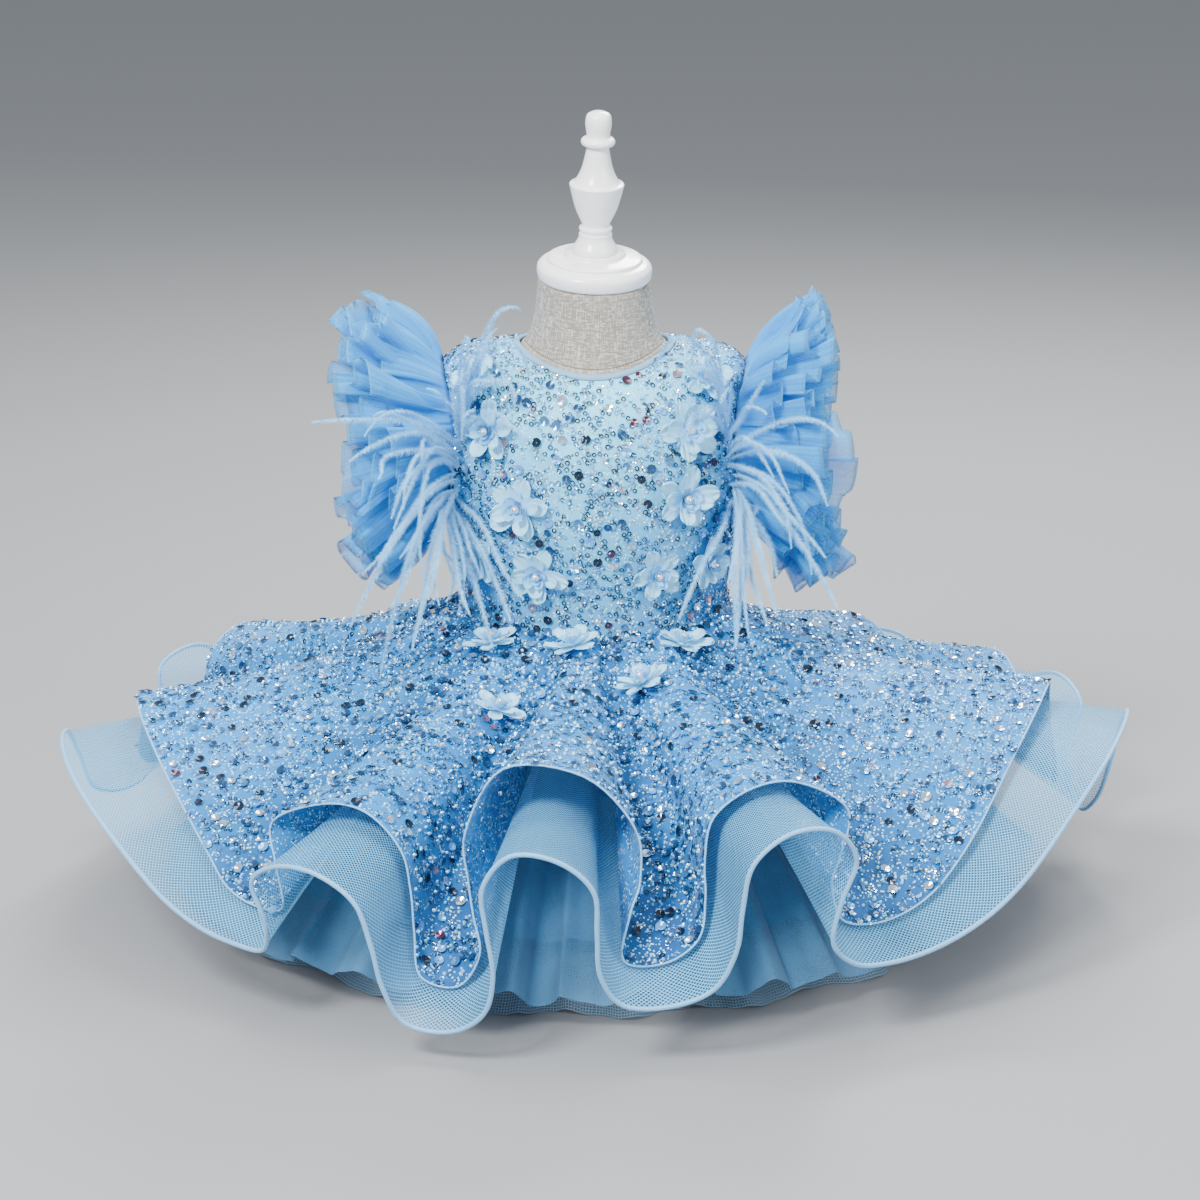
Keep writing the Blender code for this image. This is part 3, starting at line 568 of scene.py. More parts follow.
# A grid of points, row by row, as a surface with its own metres of cloth for a map. Welded,
# its last row is its first one again.
def grid_piece(name, points, look, slot, *solids, closed=True, keep=None, welded=False):
    rows, columns = points.shape[:2]
    i, j = (a.ravel() for a in np.indices((rows - 1, columns - (not closed))))
    if keep is not None:
        held = keep(i, j)
        i, j = i[held], j[held]
    k = (j + 1) % columns
    faces = np.stack([i * columns + j, (i + 1) * columns + j, (i + 1) * columns + k, i * columns + k], 1)
    if welded:
        faces %= (rows - 1) * columns
    piece = mesh_piece(name, points[:rows - welded], faces, [look], slot, *solids)
    across = np.linalg.norm(np.roll(points, -1, 1) - points, axis=2)
    u = np.concatenate([[0], np.cumsum(across[across.sum(1).argmax()])])
    v = np.vstack([np.zeros(columns), np.cumsum(np.linalg.norm(np.diff(points, axis=0), axis=2), axis=0)])
    v = v - v[-1]
    corners = np.stack([np.stack([u[j], v[i, j]], 1), np.stack([u[j], v[i + 1, j]], 1),
                        np.stack([u[j + 1], v[i + 1, k]], 1), np.stack([u[j + 1], v[i, k]], 1)], 1)
    piece.data.uv_layers.new(name="Cloth").data.foreach_set("uv", corners.ravel())
    return piece


# A value of its own at each point of a grid, for its look to read.
def paint(piece, name, values):
    piece.data.attributes.new(name, "FLOAT", "POINT").data.foreach_set("value", values.ravel())


# Sums a cloth piece's own area over its plies, and does nothing further with it.
def declare_sheet(piece, plies=1):
    area = sum(face.area for face in piece.data.polygons) / plies


# Smooth curve through points along one axis of an array, each step in equal parts.
def smooth(points, parts, axis, closed):
    p = np.moveaxis(points, axis, 0)
    ends = (p[-1:], p[:2]) if closed else (2 * p[:1] - p[1:2], 2 * p[-1:] - p[-2:-1])
    p = np.concatenate([ends[0], p, ends[1]])
    t = (np.arange(parts) / parts).reshape(1, -1, *[1] * (p.ndim - 1))
    a, b, c, d = (p[k:len(p) - 3 + k][:, None] for k in range(4))
    fine = 2 * b + (c - a) * t + (2 * a - 5 * b + 4 * c - d) * t ** 2 + (3 * b - a - 3 * c + d) * t ** 3
    fine = (fine / 2).reshape(-1, *p.shape[1:])
    if not closed:
        fine = np.concatenate([fine, p[-2:-1]])
    return np.moveaxis(fine, 0, axis)


def grid_normals(points, closed=True):
    along = np.roll(points, -1, 1) - np.roll(points, 1, 1) if closed else np.gradient(points, axis=1)
    normals = np.cross(np.gradient(points, axis=0), along)
    return normals / np.maximum(np.linalg.norm(normals, axis=2, keepdims=True), 1e-12)


# A closed grid as a surface that a ray can be sent at.
def tree_of(points):
    rows, columns = points.shape[:2]
    faces = [(i * columns + j, i * columns + (j + 1) % columns, (i + 1) * columns + (j + 1) % columns,
              (i + 1) * columns + j) for i in range(rows - 1) for j in range(columns)]
    return BVHTree.FromPolygons([Vector(p) for p in points.reshape(-1, 3)], faces)


# A cloth's grid as a surface to sew things on: places and normals at any row and column.
class Skin:
    def __init__(self, points, closed=True, facing=1):
        self.points = np.concatenate([points, points[:, :1]], axis=1) if closed else points
        normals = grid_normals(points, closed) * facing
        self.normals = np.concatenate([normals, normals[:, :1]], axis=1) if closed else normals
        self.closed = closed
        self.down = np.linalg.norm(np.diff(self.points, axis=0), axis=2)[:, :-1]
        self.across = np.linalg.norm(np.diff(self.points, axis=1), axis=2)[:-1]
        self.rows, self.columns = self.down.shape

    def between(self, grid, row, column):
        i = np.clip(row.astype(int), 0, self.rows - 1)
        j = np.clip(column.astype(int), 0, self.columns - 1)
        f, g = (row - i)[:, None], (column - j)[:, None]
        upper = grid[i, j] * (1 - g) + grid[i, j + 1] * g
        return upper * (1 - f) + (grid[i + 1, j] * (1 - g) + grid[i + 1, j + 1] * g) * f

    def at(self, row, column):
        normals = self.between(self.normals, row, column)
        normals = normals / np.linalg.norm(normals, axis=1, keepdims=True)
        return self.between(self.points, row, column), normals

    def anywhere(self, count, weight=1.0):
        share = (self.down * self.across * weight).ravel()
        cell = CHANCE.choice(share.size, count, p=share / share.sum())
        return cell // self.columns + CHANCE.random(count), cell % self.columns + CHANCE.random(count)

    # Short wandering rows of stitches, as a thread runs through a line of sequins.
    def chains(self, count, longest, pitch, weight=1.0):
        row, column = self.anywhere(count, weight)
        heading = CHANCE.random(count) * 2 * math.pi
        left = CHANCE.integers(1, longest + 1, count)
        found = []
        while len(row):
            found.append((row, column))
            heading = heading + CHANCE.normal(0, 0.7, len(row))
            i = np.clip(row.astype(int), 0, self.rows - 1)
            j = np.clip(column.astype(int), 0, self.columns - 1)
            row = row + np.sin(heading) * pitch / self.down[i, j]
            column = column + np.cos(heading) * pitch / np.maximum(self.across[i, j], pitch / 40)
            if self.closed:
                column = column % self.columns
            left = left - 1
            on = (left > 0) & (row > 0.2) & (row < self.rows - 0.1) & (column > 0) & (column < self.columns)
            row, column, heading, left = row[on], column[on], heading[on], left[on]
        return np.concatenate([r for r, c in found]), np.concatenate([c for r, c in found])


# Leaves out the spots that would lie on an earlier one or on one already taken.
def apart(skin, spots, room, taken=()):
    places = skin.at(*spots)[0]
    tree = KDTree(len(places) + len(taken))
    for number, place in enumerate([*places, *taken]):
        tree.insert(place, number)
    tree.balance()
    held = np.ones(len(places), bool)
    for number, place in enumerate(places):
        if held[number]:
            for other in (found[1] for found in tree.find_range(place, room)):
                if other >= len(places):
                    held[number] = False
                elif other > number:
                    held[other] = False
    return spots[0][held], spots[1][held]


# Many copies of one small shape in one mesh, each turned, tilted and coloured in its own way.
def scatter(name, shape, skin, spots, size, lift, tilt, looks, odds, slot):
    verts, faces = (np.array(part) for part in shape)
    places, normals = skin.at(*spots)
    count = len(places)
    out = normals
    normals = normals + CHANCE.normal(0, tilt, (count, 3))
    normals /= np.linalg.norm(normals, axis=1, keepdims=True)
    side = np.cross(normals, np.where(np.abs(normals[:, 2:]) < 0.9, (0.0, 0.0, 1.0), (1.0, 0.0, 0.0)))
    side /= np.linalg.norm(side, axis=1, keepdims=True)
    turn = CHANCE.random(count)[:, None] * 2 * math.pi
    first = side * np.cos(turn) + np.cross(normals, side) * np.sin(turn)
    second = np.cross(normals, first)
    scale = size * (0.85 + 0.3 * CHANCE.random(count))[:, None, None]
    centres = places + out * (lift * (0.8 + 0.8 * CHANCE.random(count)))[:, None]
    frames = np.stack([first, second, normals], axis=1)
    points = centres[:, None] + (verts @ frames) * scale
    every = faces[None] + (np.arange(count) * len(verts))[:, None, None]
    piece = mesh_piece(name, points, every.reshape(-1, faces.shape[1]), looks, slot)
    odds = np.array(odds, float)
    kinds = CHANCE.choice(len(looks), count, p=odds / odds.sum())
    piece.data.polygons.foreach_set("material_index", np.repeat(kinds, len(faces)))
    return piece


# Small shapes of unit radius, spun from a few pairs of radius and height.
def spun_shape(steps, rings):
    turns = [2 * math.pi * k / steps for k in range(steps)]
    verts = [(math.cos(a) * r, math.sin(a) * r, z) for r, z in rings for a in turns]
    faces = [(n + k, n + (k + 1) % steps, n + steps + (k + 1) % steps, n + steps + k)
             for n in range(0, steps * (len(rings) - 1), steps) for k in range(steps)]
    return verts, faces


def ring_shape(steps):
    return spun_shape(steps, ((0.50, -0.10), (1.0, 0.12)))


def disc_shape():
    return spun_shape(10, ((0.14, -0.16), (1.0, 0.14)))


def bead_shape(steps):
    return spun_shape(steps, ((1.0, 0.1), (0.72, 1.1), (0.02, 1.5)))


def bugle_shape():
    verts = [(x, y, z) for x in (-2.2, 2.2) for y, z in ((-0.5, 0.2), (0.0, 1.0), (0.5, 0.2))]
    return verts, [(0, 1, 4, 3), (1, 2, 5, 4)]


# A round-sided tube along a closed or open line of points, by its own frames.
def tube_points(line, radius, sides, closed):
    line = np.asarray(line)
    ahead = np.roll(line, -1, 0) - np.roll(line, 1, 0) if closed else np.gradient(line, axis=0)
    ahead /= np.linalg.norm(ahead, axis=1, keepdims=True)
    level = np.cross(ahead, (0.0, 0.0, 1.0)) + 1e-9
    level /= np.linalg.norm(level, axis=1, keepdims=True)
    upright = np.cross(level, ahead)
    radius = np.broadcast_to(radius, len(line))[:, None]
    turns = [2 * math.pi * k / sides for k in range(sides)]
    return np.stack([line + radius * (level * math.cos(a) + upright * math.sin(a)) for a in turns])


def tube_piece(name, line, radius, sides, look, slot, *solids):
    points = tube_points(line, radius, sides, True)
    return grid_piece(name, np.concatenate([points, points[:1]]), look, slot, *solids, welded=True)


# The dress form
def torso_grid(turns):
    a = np.radians(turns)
    s, c = np.sin(a), np.cos(a)
    rows = []
    for section in TORSO:
        depth = np.where(c >= 0, section.front, section.back)
        end_z = np.where(c >= 0, section.front_z, section.back_z)
        z = section.side_z + (end_z - section.side_z) * c * c
        rows.append(np.stack([section.half * s, -depth * c, z], 1))
    return np.array(rows)


def cap_frame():
    lean = Matrix.Rotation(math.radians(CAP_LEAN), 4, "Y") @ Matrix.Rotation(math.radians(CAP_TILT), 4, "X")
    return Matrix.Translation((0, 0, NECK_TOP)) @ lean


def build_form():
    rows = torso_grid(np.arange(TORSO_TURNS) * 360 / TORSO_TURNS)
    stand = cap_frame()
    turns = [2 * math.pi * k / TORSO_TURNS for k in range(TORSO_TURNS)]
    last = TORSO[-1].half
    rows[-1] = [stand @ Vector((last * math.sin(a), -last * math.cos(a), 0)) for a in turns]
    points = smooth(rows, TORSO_PARTS, 0, False)
    points[:, :, 2] = np.maximum(points[:, :, 2], 0)
    sections = np.arange(len(points)) / TORSO_PARTS
    groove = NECK_SEAM_DEPTH * np.exp(-((sections - NECK_SEAM_ROW) / 0.07) ** 2)
    swell = NECK_SEAM_SWELL * np.exp(-((sections - NECK_SEAM_ROW + 0.2) / 0.12) ** 2)
    middle = points.mean(axis=1, keepdims=True)
    arm = points - middle
    arm /= np.linalg.norm(arm, axis=2, keepdims=True)
    points = points - arm * (groove - swell)[:, None, None]
    points = np.concatenate([points[:1] * 0, points, points[-1:] * 0 + middle[-1:]])
    grid_piece("linen_body", points, LINEN, "linen", "form_torso")
    seam = points[1 + round(NECK_SEAM_ROW * TORSO_PARTS)]
    tube_piece("neck_seam", seam + (seam - seam.mean(axis=0)) * 0.006, 0.00035, 4, SEAM_THREAD, "linen")
    for node in ("neck_cap", "finial"):
        build_turned(node, stand)


# A turned piece from its solid's own rings, smoothed and spun finer.
def build_turned(node, stand):
    rings = {}
    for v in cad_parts[node].data.vertices:
        spot = stand.inverted() @ v.co
        height = round(spot.z, 4)
        rings[height] = max(rings.get(height, 0), math.hypot(spot.x, spot.y))
    profile = np.array([(rings[h], h) for h in sorted(rings)])
    profile = smooth(profile, 5, 0, False)
    profile = np.concatenate([[(0, profile[0][1])], profile, [(0, profile[-1][1])]])
    turns = [2 * math.pi * k / CAP_SPINS for k in range(CAP_SPINS)]
    points = [[stand @ Vector((r * math.sin(a), -r * math.cos(a), z)) for a in turns] for r, z in profile]
    grid_piece(node + "_turned", np.array(points), WHITE_PAINT, "white_paint", node)


# The bodice
def skin_grid(turns, out):
    fine = smooth(torso_grid(turns), BODICE_PARTS, 0, False)
    fine = fine - grid_normals(fine, closed=False) * out
    return fine[WAIST_ROW * BODICE_PARTS:NECK_ROW * BODICE_PARTS + 1]


def build_bodice():
    edges = smooth(np.array(ARMHOLE_EDGE, float), BODICE_PARTS, 0, False)
    parts = (("bodice_front", -90, 90), ("bodice_back_right", 90, 180), ("bodice_back_left", 180, 270))
    for name, start, end in parts:
        turns = np.linspace(start, end, BODICE_COLUMNS * (end - start) // 180 + 1)
        points = skin_grid(turns, BODICE_OUT)
        points[0, :, 2] = BODICE_HEM - HEM_TUCK
        from_side = 90 - np.abs(np.abs((turns + 180) % 360 - 180) - 90)
        open_rows = np.arange(len(points) - 1)
        open_rows = (open_rows >= (UNDERARM_ROW - WAIST_ROW) * BODICE_PARTS) & (
            open_rows < (SHOULDER_ROW - WAIST_ROW) * BODICE_PARTS)

        def keep(i, j):
            return ~(open_rows[i] & (from_side[j] > edges[i] - 0.5) & (from_side[j + 1] > edges[i] - 0.5))

        piece = grid_piece(name + "_net", points, BODICE_NET, "sequined_net", name, closed=False, keep=keep)
        # Painted shade: the bodice darkens at its sides, where it turns away from the light, and towards
        # the waist.
        low = np.linspace(1, 0, len(points))[:, None]
        paint(piece, "Valley", 0.80 * np.abs(np.sin(np.radians(turns)))[None] ** 3 + 0.85 * low ** 2)
        weight = keep(*(a.ravel() for a in np.indices((points.shape[0] - 1, points.shape[1] - 1))))
        weight = weight.reshape(points.shape[0] - 1, -1).astype(float)
        skin = Skin(points, closed=False, facing=-1)
        area = float((skin.down * skin.across * weight).sum())
        sewn = sew_bodice(name, skin, weight, area)
        declare_sheet(piece)


def sew_bodice(name, skin, weight, area):
    laid = apart(skin, skin.anywhere(int(area * BODICE_DISCS), weight), DISC_RADIUS * 2.1)
    discs = scatter(name + "_discs", disc_shape(), skin, laid, DISC_RADIUS, 0.0012, 0.14,
                    SEQUIN_LOOKS, [3.4, 3.4, 3.0, 2.6, 2.0, 1.2, 0.6], "sequined_net")
    spots = skin.chains(int(area * BODICE_RINGS), 6, RING_PITCH, weight)
    spots = apart(skin, spots, RING_RADIUS * 1.85, skin.at(*laid)[0])
    rings = scatter(name + "_rings", ring_shape(8), skin, spots, RING_RADIUS, 0.0007, 0.16,
                    SEQUIN_LOOKS, [7, 6, 4, 3, 2, 0.4, 0.3], "sequined_net")
    spots = skin.anywhere(int(area * BODICE_PEARLS), weight)
    beads = scatter(name + "_pearls", bead_shape(6), skin, spots, PEARL_RADIUS * 0.8, 0.0001, 0.05,
                    [PEARL, ICE], [4, 3], "sequined_net")
    return [rings, discs, beads]


def build_binding():
    turns = np.arange(90) * 4.0
    fine = smooth(torso_grid(turns), BODICE_PARTS * 2, 0, False)
    normals = -grid_normals(fine)
    first = round((NECK_ROW + 0.10) * BODICE_PARTS * 2)
    points = np.array([fine[first + row] + normals[first + row] * out for row, out in BINDING_FOLD])
    piece = grid_piece("neck_binding_fold", points, BINDING, "binding", "neck_binding")
    declare_sheet(piece)


# The skirt's tiers
def hem_controls():
    controls = []

    def add(degrees, z, foot, lift):
        a = math.radians(degrees)
        narrow = 1 - SIDE_NARROWING * math.sin(a) ** 2
        reach = (CREST[0] + (FOOT[0] - CREST[0]) * foot) * narrow
        controls.append([reach * math.sin(a), -reach * math.cos(a), z, foot, lift])

    for i, f in enumerate(FOLDS):
        before = FOLDS[i - 1].foot_z
        left, right = f.rise - before, f.rise - f.foot_z
        add(f.az - f.left_neck, before + 0.30 * left, 0.5, f.lift_left * 0.8)
        add(f.az - f.left_top, f.rise - 0.20 * left, 0.1, f.lift_left)
        add(f.az - f.left_top * 0.35, f.rise - 0.015 * left, 0.0, f.lift_top)
        add(f.az + f.right_top * 0.35, f.rise - 0.015 * right, 0.0, f.lift_top)
        add(f.az + f.right_top, f.rise - 0.20 * right, 0.1, f.lift_right)
        add(f.az + f.right_neck, f.foot_z + 0.30 * right, 0.5, f.lift_right * 0.8)
        add(f.foot_az - f.foot_half, f.foot_z + 0.05 * right, 0.9, FOOT_LIFT)
        add(f.foot_az + f.foot_half, f.foot_z + 0.05 * right, 0.9, FOOT_LIFT)
    return np.array(controls)


def hem_line():
    dense = smooth(hem_controls(), 16, 0, True)
    dense = np.vstack([dense, dense[:1]])
    length = np.concatenate([[0], np.cumsum(np.linalg.norm(np.diff(dense[:, :3], axis=0), axis=1))])
    goals = length[-1] * np.arange(SKIRT_COLUMNS) / SKIRT_COLUMNS
    return np.stack([np.interp(goals, length, dense[:, k]) for k in range(dense.shape[1])], axis=1)


# Degrees round the waist where each column of the skirt starts.
def waist_turns(hem):
    turn = np.degrees(np.arctan2(hem[:, 0], -hem[:, 1]))
    base = turn[0] + 360 * np.arange(SKIRT_COLUMNS) / SKIRT_COLUMNS
    away = (turn - base + 180) % 360 - 180
    reach = SKIRT_COLUMNS // 18
    drift = sum(np.roll(away, k) for k in range(-reach, reach + 1)) / (2 * reach + 1)
    return base + drift


def tier_grid(hem, turns, steps):
    a = np.radians(turns)
    waist = np.stack([WAIST_X * np.sin(a), -WAIST_Y * np.cos(a), np.full(len(a), WAIST_Z - WAIST_STEP)], 1)
    rows = []
    for step in steps:
        t = np.broadcast_to(step, len(hem))[:, None]
        row = waist + (hem[:, :3] - waist) * t
        row[:, 2] += ((CREST[1] + (FOOT[1] - CREST[1]) * hem[:, 3])[:, None] * 4 * t * (1 - t))[:, 0]
        rows.append(row)
    return np.array(rows)


def vertex_normals(points):
    rows, columns = points.shape[:2]
    faces = [((i + 1) * columns + j, (i + 1) * columns + (j + 1) % columns, i * columns + (j + 1) % columns,
              i * columns + j) for i in range(rows - 1) for j in range(columns)]
    mesh = bpy.data.meshes.new("lift_guide")
    mesh.from_pydata(points.reshape(-1, 3).tolist(), [], faces)
    normals = np.array([v.normal for v in mesh.vertices]).reshape(points.shape)
    bpy.data.meshes.remove(mesh)
    return normals


def build_under_tier(hem, turns):
    steps = [0, 0.26, 0.50, BAND_START, 0.87, 1.0]
    points = smooth(smooth(tier_grid(hem, turns, steps), ACROSS, 1, True), DOWN, 0, False)
    cut = 2 * DOWN
    upper = grid_piece("under_tier", points[:cut + 1], UNDER_TULLE, "sky_tulle", "skirt_under")
    declare_sheet(upper)
    cord = tube_piece("hem_cord_braid", points[-1], CORD_RADIUS * 1.05, 8, HEM_CORD, "horsehair_braid",
                      "hem_cord")
    band = grid_piece("horsehair_mesh", points[cut:], HORSEHAIR, "horsehair_braid", "horsehair_band")
    declare_sheet(band)


def crease_depth(turns, shares):
    depth = np.zeros((len(shares), len(turns)))
    back = [Crease(180 - c.az * 1.02 + 5, c.depth, c.width * 1.1, c.reach) for c in CREASES]
    for c in CREASES + back:
        away = (turns - c.az + 180) % 360 - 180
        fade = np.clip(1 - shares / c.reach, 0, 1) ** 0.7 * np.clip(shares * 14, 0, 1)
        depth += 1.7 * c.depth * np.exp(-(away / c.width) ** 2)[None] * fade[:, None]
    gathers = np.sin(np.radians(turns * 46) + 1.3 * np.sin(np.radians(turns * 7)))
    gathers += 0.6 * np.sin(np.radians(turns * 29 + 40))
    fade = np.clip(1 - shares / 0.34, 0, 1) ** 1.2 * np.clip(shares * 20, 0, 1)
    return depth + 0.0014 * gathers[None] * fade[:, None]


def build_overskirt(hem, turns):
    steps = np.array([0.0, 0.20, 0.44, 0.72, 1.0])
    shares = [s * (CREST[2] + (FOOT[2] - CREST[2]) * hem[:, 3]) for s in steps]
    guide = tier_grid(hem, turns, shares)
    lift = 0.0020 + (hem[None, :, 4] - 0.0005) * steps[:, None] ** 1.3
    guide = guide + vertex_normals(guide) * lift[:, :, None]
    points = smooth(smooth(guide, ACROSS, 1, True), DOWN, 0, False)
    whole = np.unwrap(np.radians(turns))
    whole = np.degrees(np.interp(np.arange(SKIRT_COLUMNS * ACROSS) / ACROSS, np.arange(SKIRT_COLUMNS + 1),
                                 np.append(whole, whole[0] + 2 * math.pi)))
    down = np.linspace(0, 1, len(points))
    room = smooth(smooth(lift, ACROSS, 1, True), DOWN, 0, False) - 0.0008
    crease = np.maximum(crease_depth(whole, down), -room)
    points = points + grid_normals(points) * crease[:, :, None]
    piece = grid_piece("sequined_tier", points, SKIRT_NET, "sequined_net", "overskirt")
    # Painted shade: the tier darkens in the valleys between its flutes, near the waist and in the troughs
    # of its creases.
    painted_shade = smooth(hem[None, :, 3], ACROSS, 1, True) ** 1.3 * (0.35 + 0.65 * down[:, None])
    paint(piece, "Valley", 1.15 * painted_shade + 0.6 * np.exp(-down * 8)[:, None] + np.maximum(0, -crease) * 120)
    sewn = sew_skirt(Skin(points))
    sewn.append(tube_piece("sequined_tier_edge", points[-1], 0.0007, 5, BEADED_EDGE, "sequined_net"))
    declare_sheet(piece)


def sew_skirt(skin):
    area = float((skin.down * skin.across).sum())
    near_waist = 1 + 1.2 * np.exp(-np.arange(skin.rows) / 5.0)[:, None]
    laid = apart(skin, skin.anywhere(int(area * SKIRT_DISCS), near_waist), DISC_RADIUS * 2.1)
    discs = scatter("skirt_discs", disc_shape(), skin, laid, DISC_RADIUS, 0.0012, 0.16,
                    SEQUIN_LOOKS, [3.2, 5.2, 3.4, 3.0, 2.0, 0.12, 0.15], "sequined_net")
    spots = skin.chains(int(area * SKIRT_RINGS), 5, RING_PITCH, near_waist)
    spots = apart(skin, spots, RING_RADIUS * 1.8, skin.at(*laid)[0])
    rings = scatter("skirt_rings", ring_shape(6), skin, spots, RING_RADIUS, 0.0006, 0.18,
                    SEQUIN_LOOKS, [7, 7, 4, 4, 2, 0.2, 0.2], "sequined_net")
    spots = skin.anywhere(int(area * SKIRT_PEARLS), near_waist)
    beads = scatter("skirt_pearls", bead_shape(5), skin, spots, PEARL_RADIUS, 0.0001, 0.05,
                    [PEARL, ICE], [5, 2], "sequined_net")
    spots = skin.anywhere(int(area * SKIRT_BUGLES), near_waist)
    bugles = scatter("skirt_bugles", bugle_shape(), skin, spots, 0.0006, 0.0004, 0.15,
                     [SILVER, ICE, STEEL, SLATE], [3, 4, 3, 1], "sequined_net")
    return [rings, discs, beads, bugles]


def build_layer(layer, look):
    count = layer.waves * 4
    turns = 360 * np.arange(count) / count
    a = np.radians(turns)
    wave = np.sin(np.radians(turns * layer.waves) + 0.6 * np.sin(np.radians(turns * 3)))
    rows = []
    for i, (reach, z) in enumerate(layer.profile):
        share = i / (len(layer.profile) - 1)
        if i == 0:
            top = np.full(count, WAIST_Z - layer.step * WAIST_STEP)
            rows.append(np.stack([WAIST_X * np.sin(a), -WAIST_Y * np.cos(a), top], 1))
            continue
        swell = layer.amplitude * share ** 1.3 * wave
        raised = z + swell * 0.7 if z > 0.01 else z + swell * 0
        rows.append(np.stack([(reach + swell) * np.sin(a), -(reach + swell) * np.cos(a), raised], 1))
    points = smooth(smooth(np.array(rows), 10, 1, True), 8, 0, False)
    fine = 360 * np.arange(points.shape[1]) / points.shape[1]
    down = np.linspace(0, 1, len(points))[:, None]
    depth = np.zeros(len(fine))
    for c in HEM_FOLDS:
        for az in (c.az, 184 - c.az * 1.03):
            away = (fine - az + 180) % 360 - 180
            depth += c.depth * np.cos(math.pi / 2 * np.clip(away / c.width, -1, 1)) ** 2
    depth = depth * layer.flutter * down ** 1.1
    points = points + grid_normals(points) * depth[:, :, None]
    points[:, :, 2] = np.maximum(points[:, :, 2], 0.0006)
    piece = grid_piece(layer.name + "_cloth", points, look, layer.look, layer.name)
    declare_sheet(piece)


# A smooth closed line of uneven heights from -1 to 1.
def wander(knots, count):
    line = smooth(CHANCE.random(knots) * 2 - 1, 24, 0, True)
    spots = np.arange(count) * len(line) / count
    return np.interp(spots, np.arange(len(line) + 1), np.append(line, line[0]))


# The ruffles: doubled tulle with its fold outside, in uneven flutes that fan out of the armhole.
def build_ruffle(side, ruffle, skin):
    count = ruffle.pleats * PLEAT_COLUMNS
    a = 2 * math.pi * np.arange(count) / count
    phase = np.arange(count) % PLEAT_COLUMNS / PLEAT_COLUMNS
    c, s = np.cos(a), np.sin(a)
    base = []
    for y, z in zip(-(LOOP_HALF_Y + ruffle.loop) * c, LOOP_Z + (LOOP_HALF_Z + ruffle.loop) * s):
        place, normal = skin.ray_cast(Vector((side, y, z)), Vector((-side, 0, 0)))[:2]
        base.append(place + normal * 0.0004)
    base = np.array(base)
    tall = np.where(s > 0, ruffle.up, ruffle.down)
    way = np.stack([np.full(count, float(side)), -ruffle.front * c, tall * s], 1)
    way /= np.linalg.norm(way, axis=1, keepdims=True)
    tangent = np.stack([np.zeros(count), LOOP_HALF_Y * s, LOOP_HALF_Z * c], 1)
    tangent /= np.linalg.norm(tangent, axis=1, keepdims=True)
    across = np.cross(way, tangent)
    across /= np.linalg.norm(across, axis=1, keepdims=True)
    each = ruffle.pleats
    long = ruffle.length * (1 + 0.05 * np.sin(a * 7 + 2 * side))
    above, below = RUFFLE_TRIMS[side]
    long *= 1 - above * np.maximum(0, s) - below * np.maximum(0, -s)
    long *= 1 + 0.30 * np.maximum(0, s) ** 3 * wander(each, count)
    long *= 1 + 0.12 * wander(each, count) + 0.07 * wander(9, count)
    crest = np.tanh(1.5 * np.cos(2 * math.pi * phase)) / 0.905
    height = ruffle.fan * 0.80 * crest * (1 + 0.75 * wander(each, count))
    gathers = np.sin(6 * math.pi * phase + 2.5 * wander(each, count)) * (0.6 + 0.8 * wander(each, count))
    lean = PLEAT_SWING * np.sin(4 * math.pi * phase) + PLEAT_LEAN * wander(each, count)
    sway, bend = wander(11, count), wander(13, count)
    bow, curl = wander(each, count), wander(each * 2, count)
    rows, reach = [], []
    for ply, shares in ((1, np.linspace(0, 1, PLY_ROWS)), (-1, np.linspace(1, 0, PLY_ROWS)[1:])):
        for w in shares:
            gap = PLY_GAP * ply * math.sin(math.pi * min(1, w * 1.02)) if 0 < w < 1 else 0
            out = height * w ** 0.8 + gap + PLEAT_BOW * bow * math.sin(math.pi * w)
            out = out + PLEAT_CURL * curl * w ** 3 + PLEAT_GATHER * gathers * w ** 0.6 * (1.15 - w)
            aside = lean * w + PLEAT_SWAY * sway * w ** 2
            rows.append(base + way * (long * w)[:, None] + tangent * aside[:, None]
                        + across * (out + PLEAT_BEND * bend * w ** 2)[:, None])
            reach.append(np.full(count, w))
    label = "left" if side < 0 else "right"
    solid = "ruffle_" + label + ("_outer" if ruffle.suffix in ("outer", "cover") else "_inner")
    points = np.array(rows)
    name = "tulle_" + label + "_" + ruffle.suffix
    piece = grid_piece(name, points, RUFFLE_TULLE, "sky_tulle", solid, welded=True)
    paint(piece, "Reach", np.array(reach[:-1]))
    declare_sheet(piece, plies=2)


# One petal: length and width shares of the flower's radius, a rounded end and a soft cup.
def petal_points(long, wide, lift, cup, ripple, steps=9):
    rows = []
    for k in range(steps):
        s = math.sin(math.pi / 2 * k / (steps - 1))
        half = wide * max(0.02, 1 - (2 * (0.10 + 0.90 * s) - 1) ** 2) ** 0.42 * (0.45 + 0.55 * s)
        row = []
        for t in np.linspace(-1, 1, steps):
            z = lift * s ** 1.3 + cup * t * t * half + ripple * math.sin(2.6 * math.pi * t + 1) * s * s
            row.append((long * s * (1 - 0.05 * t * t), half * t, z))
        rows.append(row)
    return np.array(rows)


# Rings of petals: how many, their length, width, lift, cup and ripple as shares of the flower's
# radius, and whether they are the deeper coloured inner cup.
Petals = namedtuple("Petals", "count long wide lift cup ripple cupped")
PETALS = [
    Petals(5, 1.14, 0.43, 0.22, 0.20, 0.070, False),
    Petals(4, 0.86, 0.40, 0.40, 0.30, 0.075, False),
    Petals(4, 0.46, 0.30, 0.36, 0.62, 0.015, True),
    Petals(3, 0.28, 0.22, 0.30, 0.80, 0.000, True),
]

# The pearl in a flower's middle and the crystal on it, looks by their place in the flower's list
Ball = namedtuple("Ball", "radius height rings look")
BALLS = [Ball(0.0030, 0.0066, 9, 2), Ball(0.0011, 0.0098, 5, 3)]
BALL_SPINS = 12


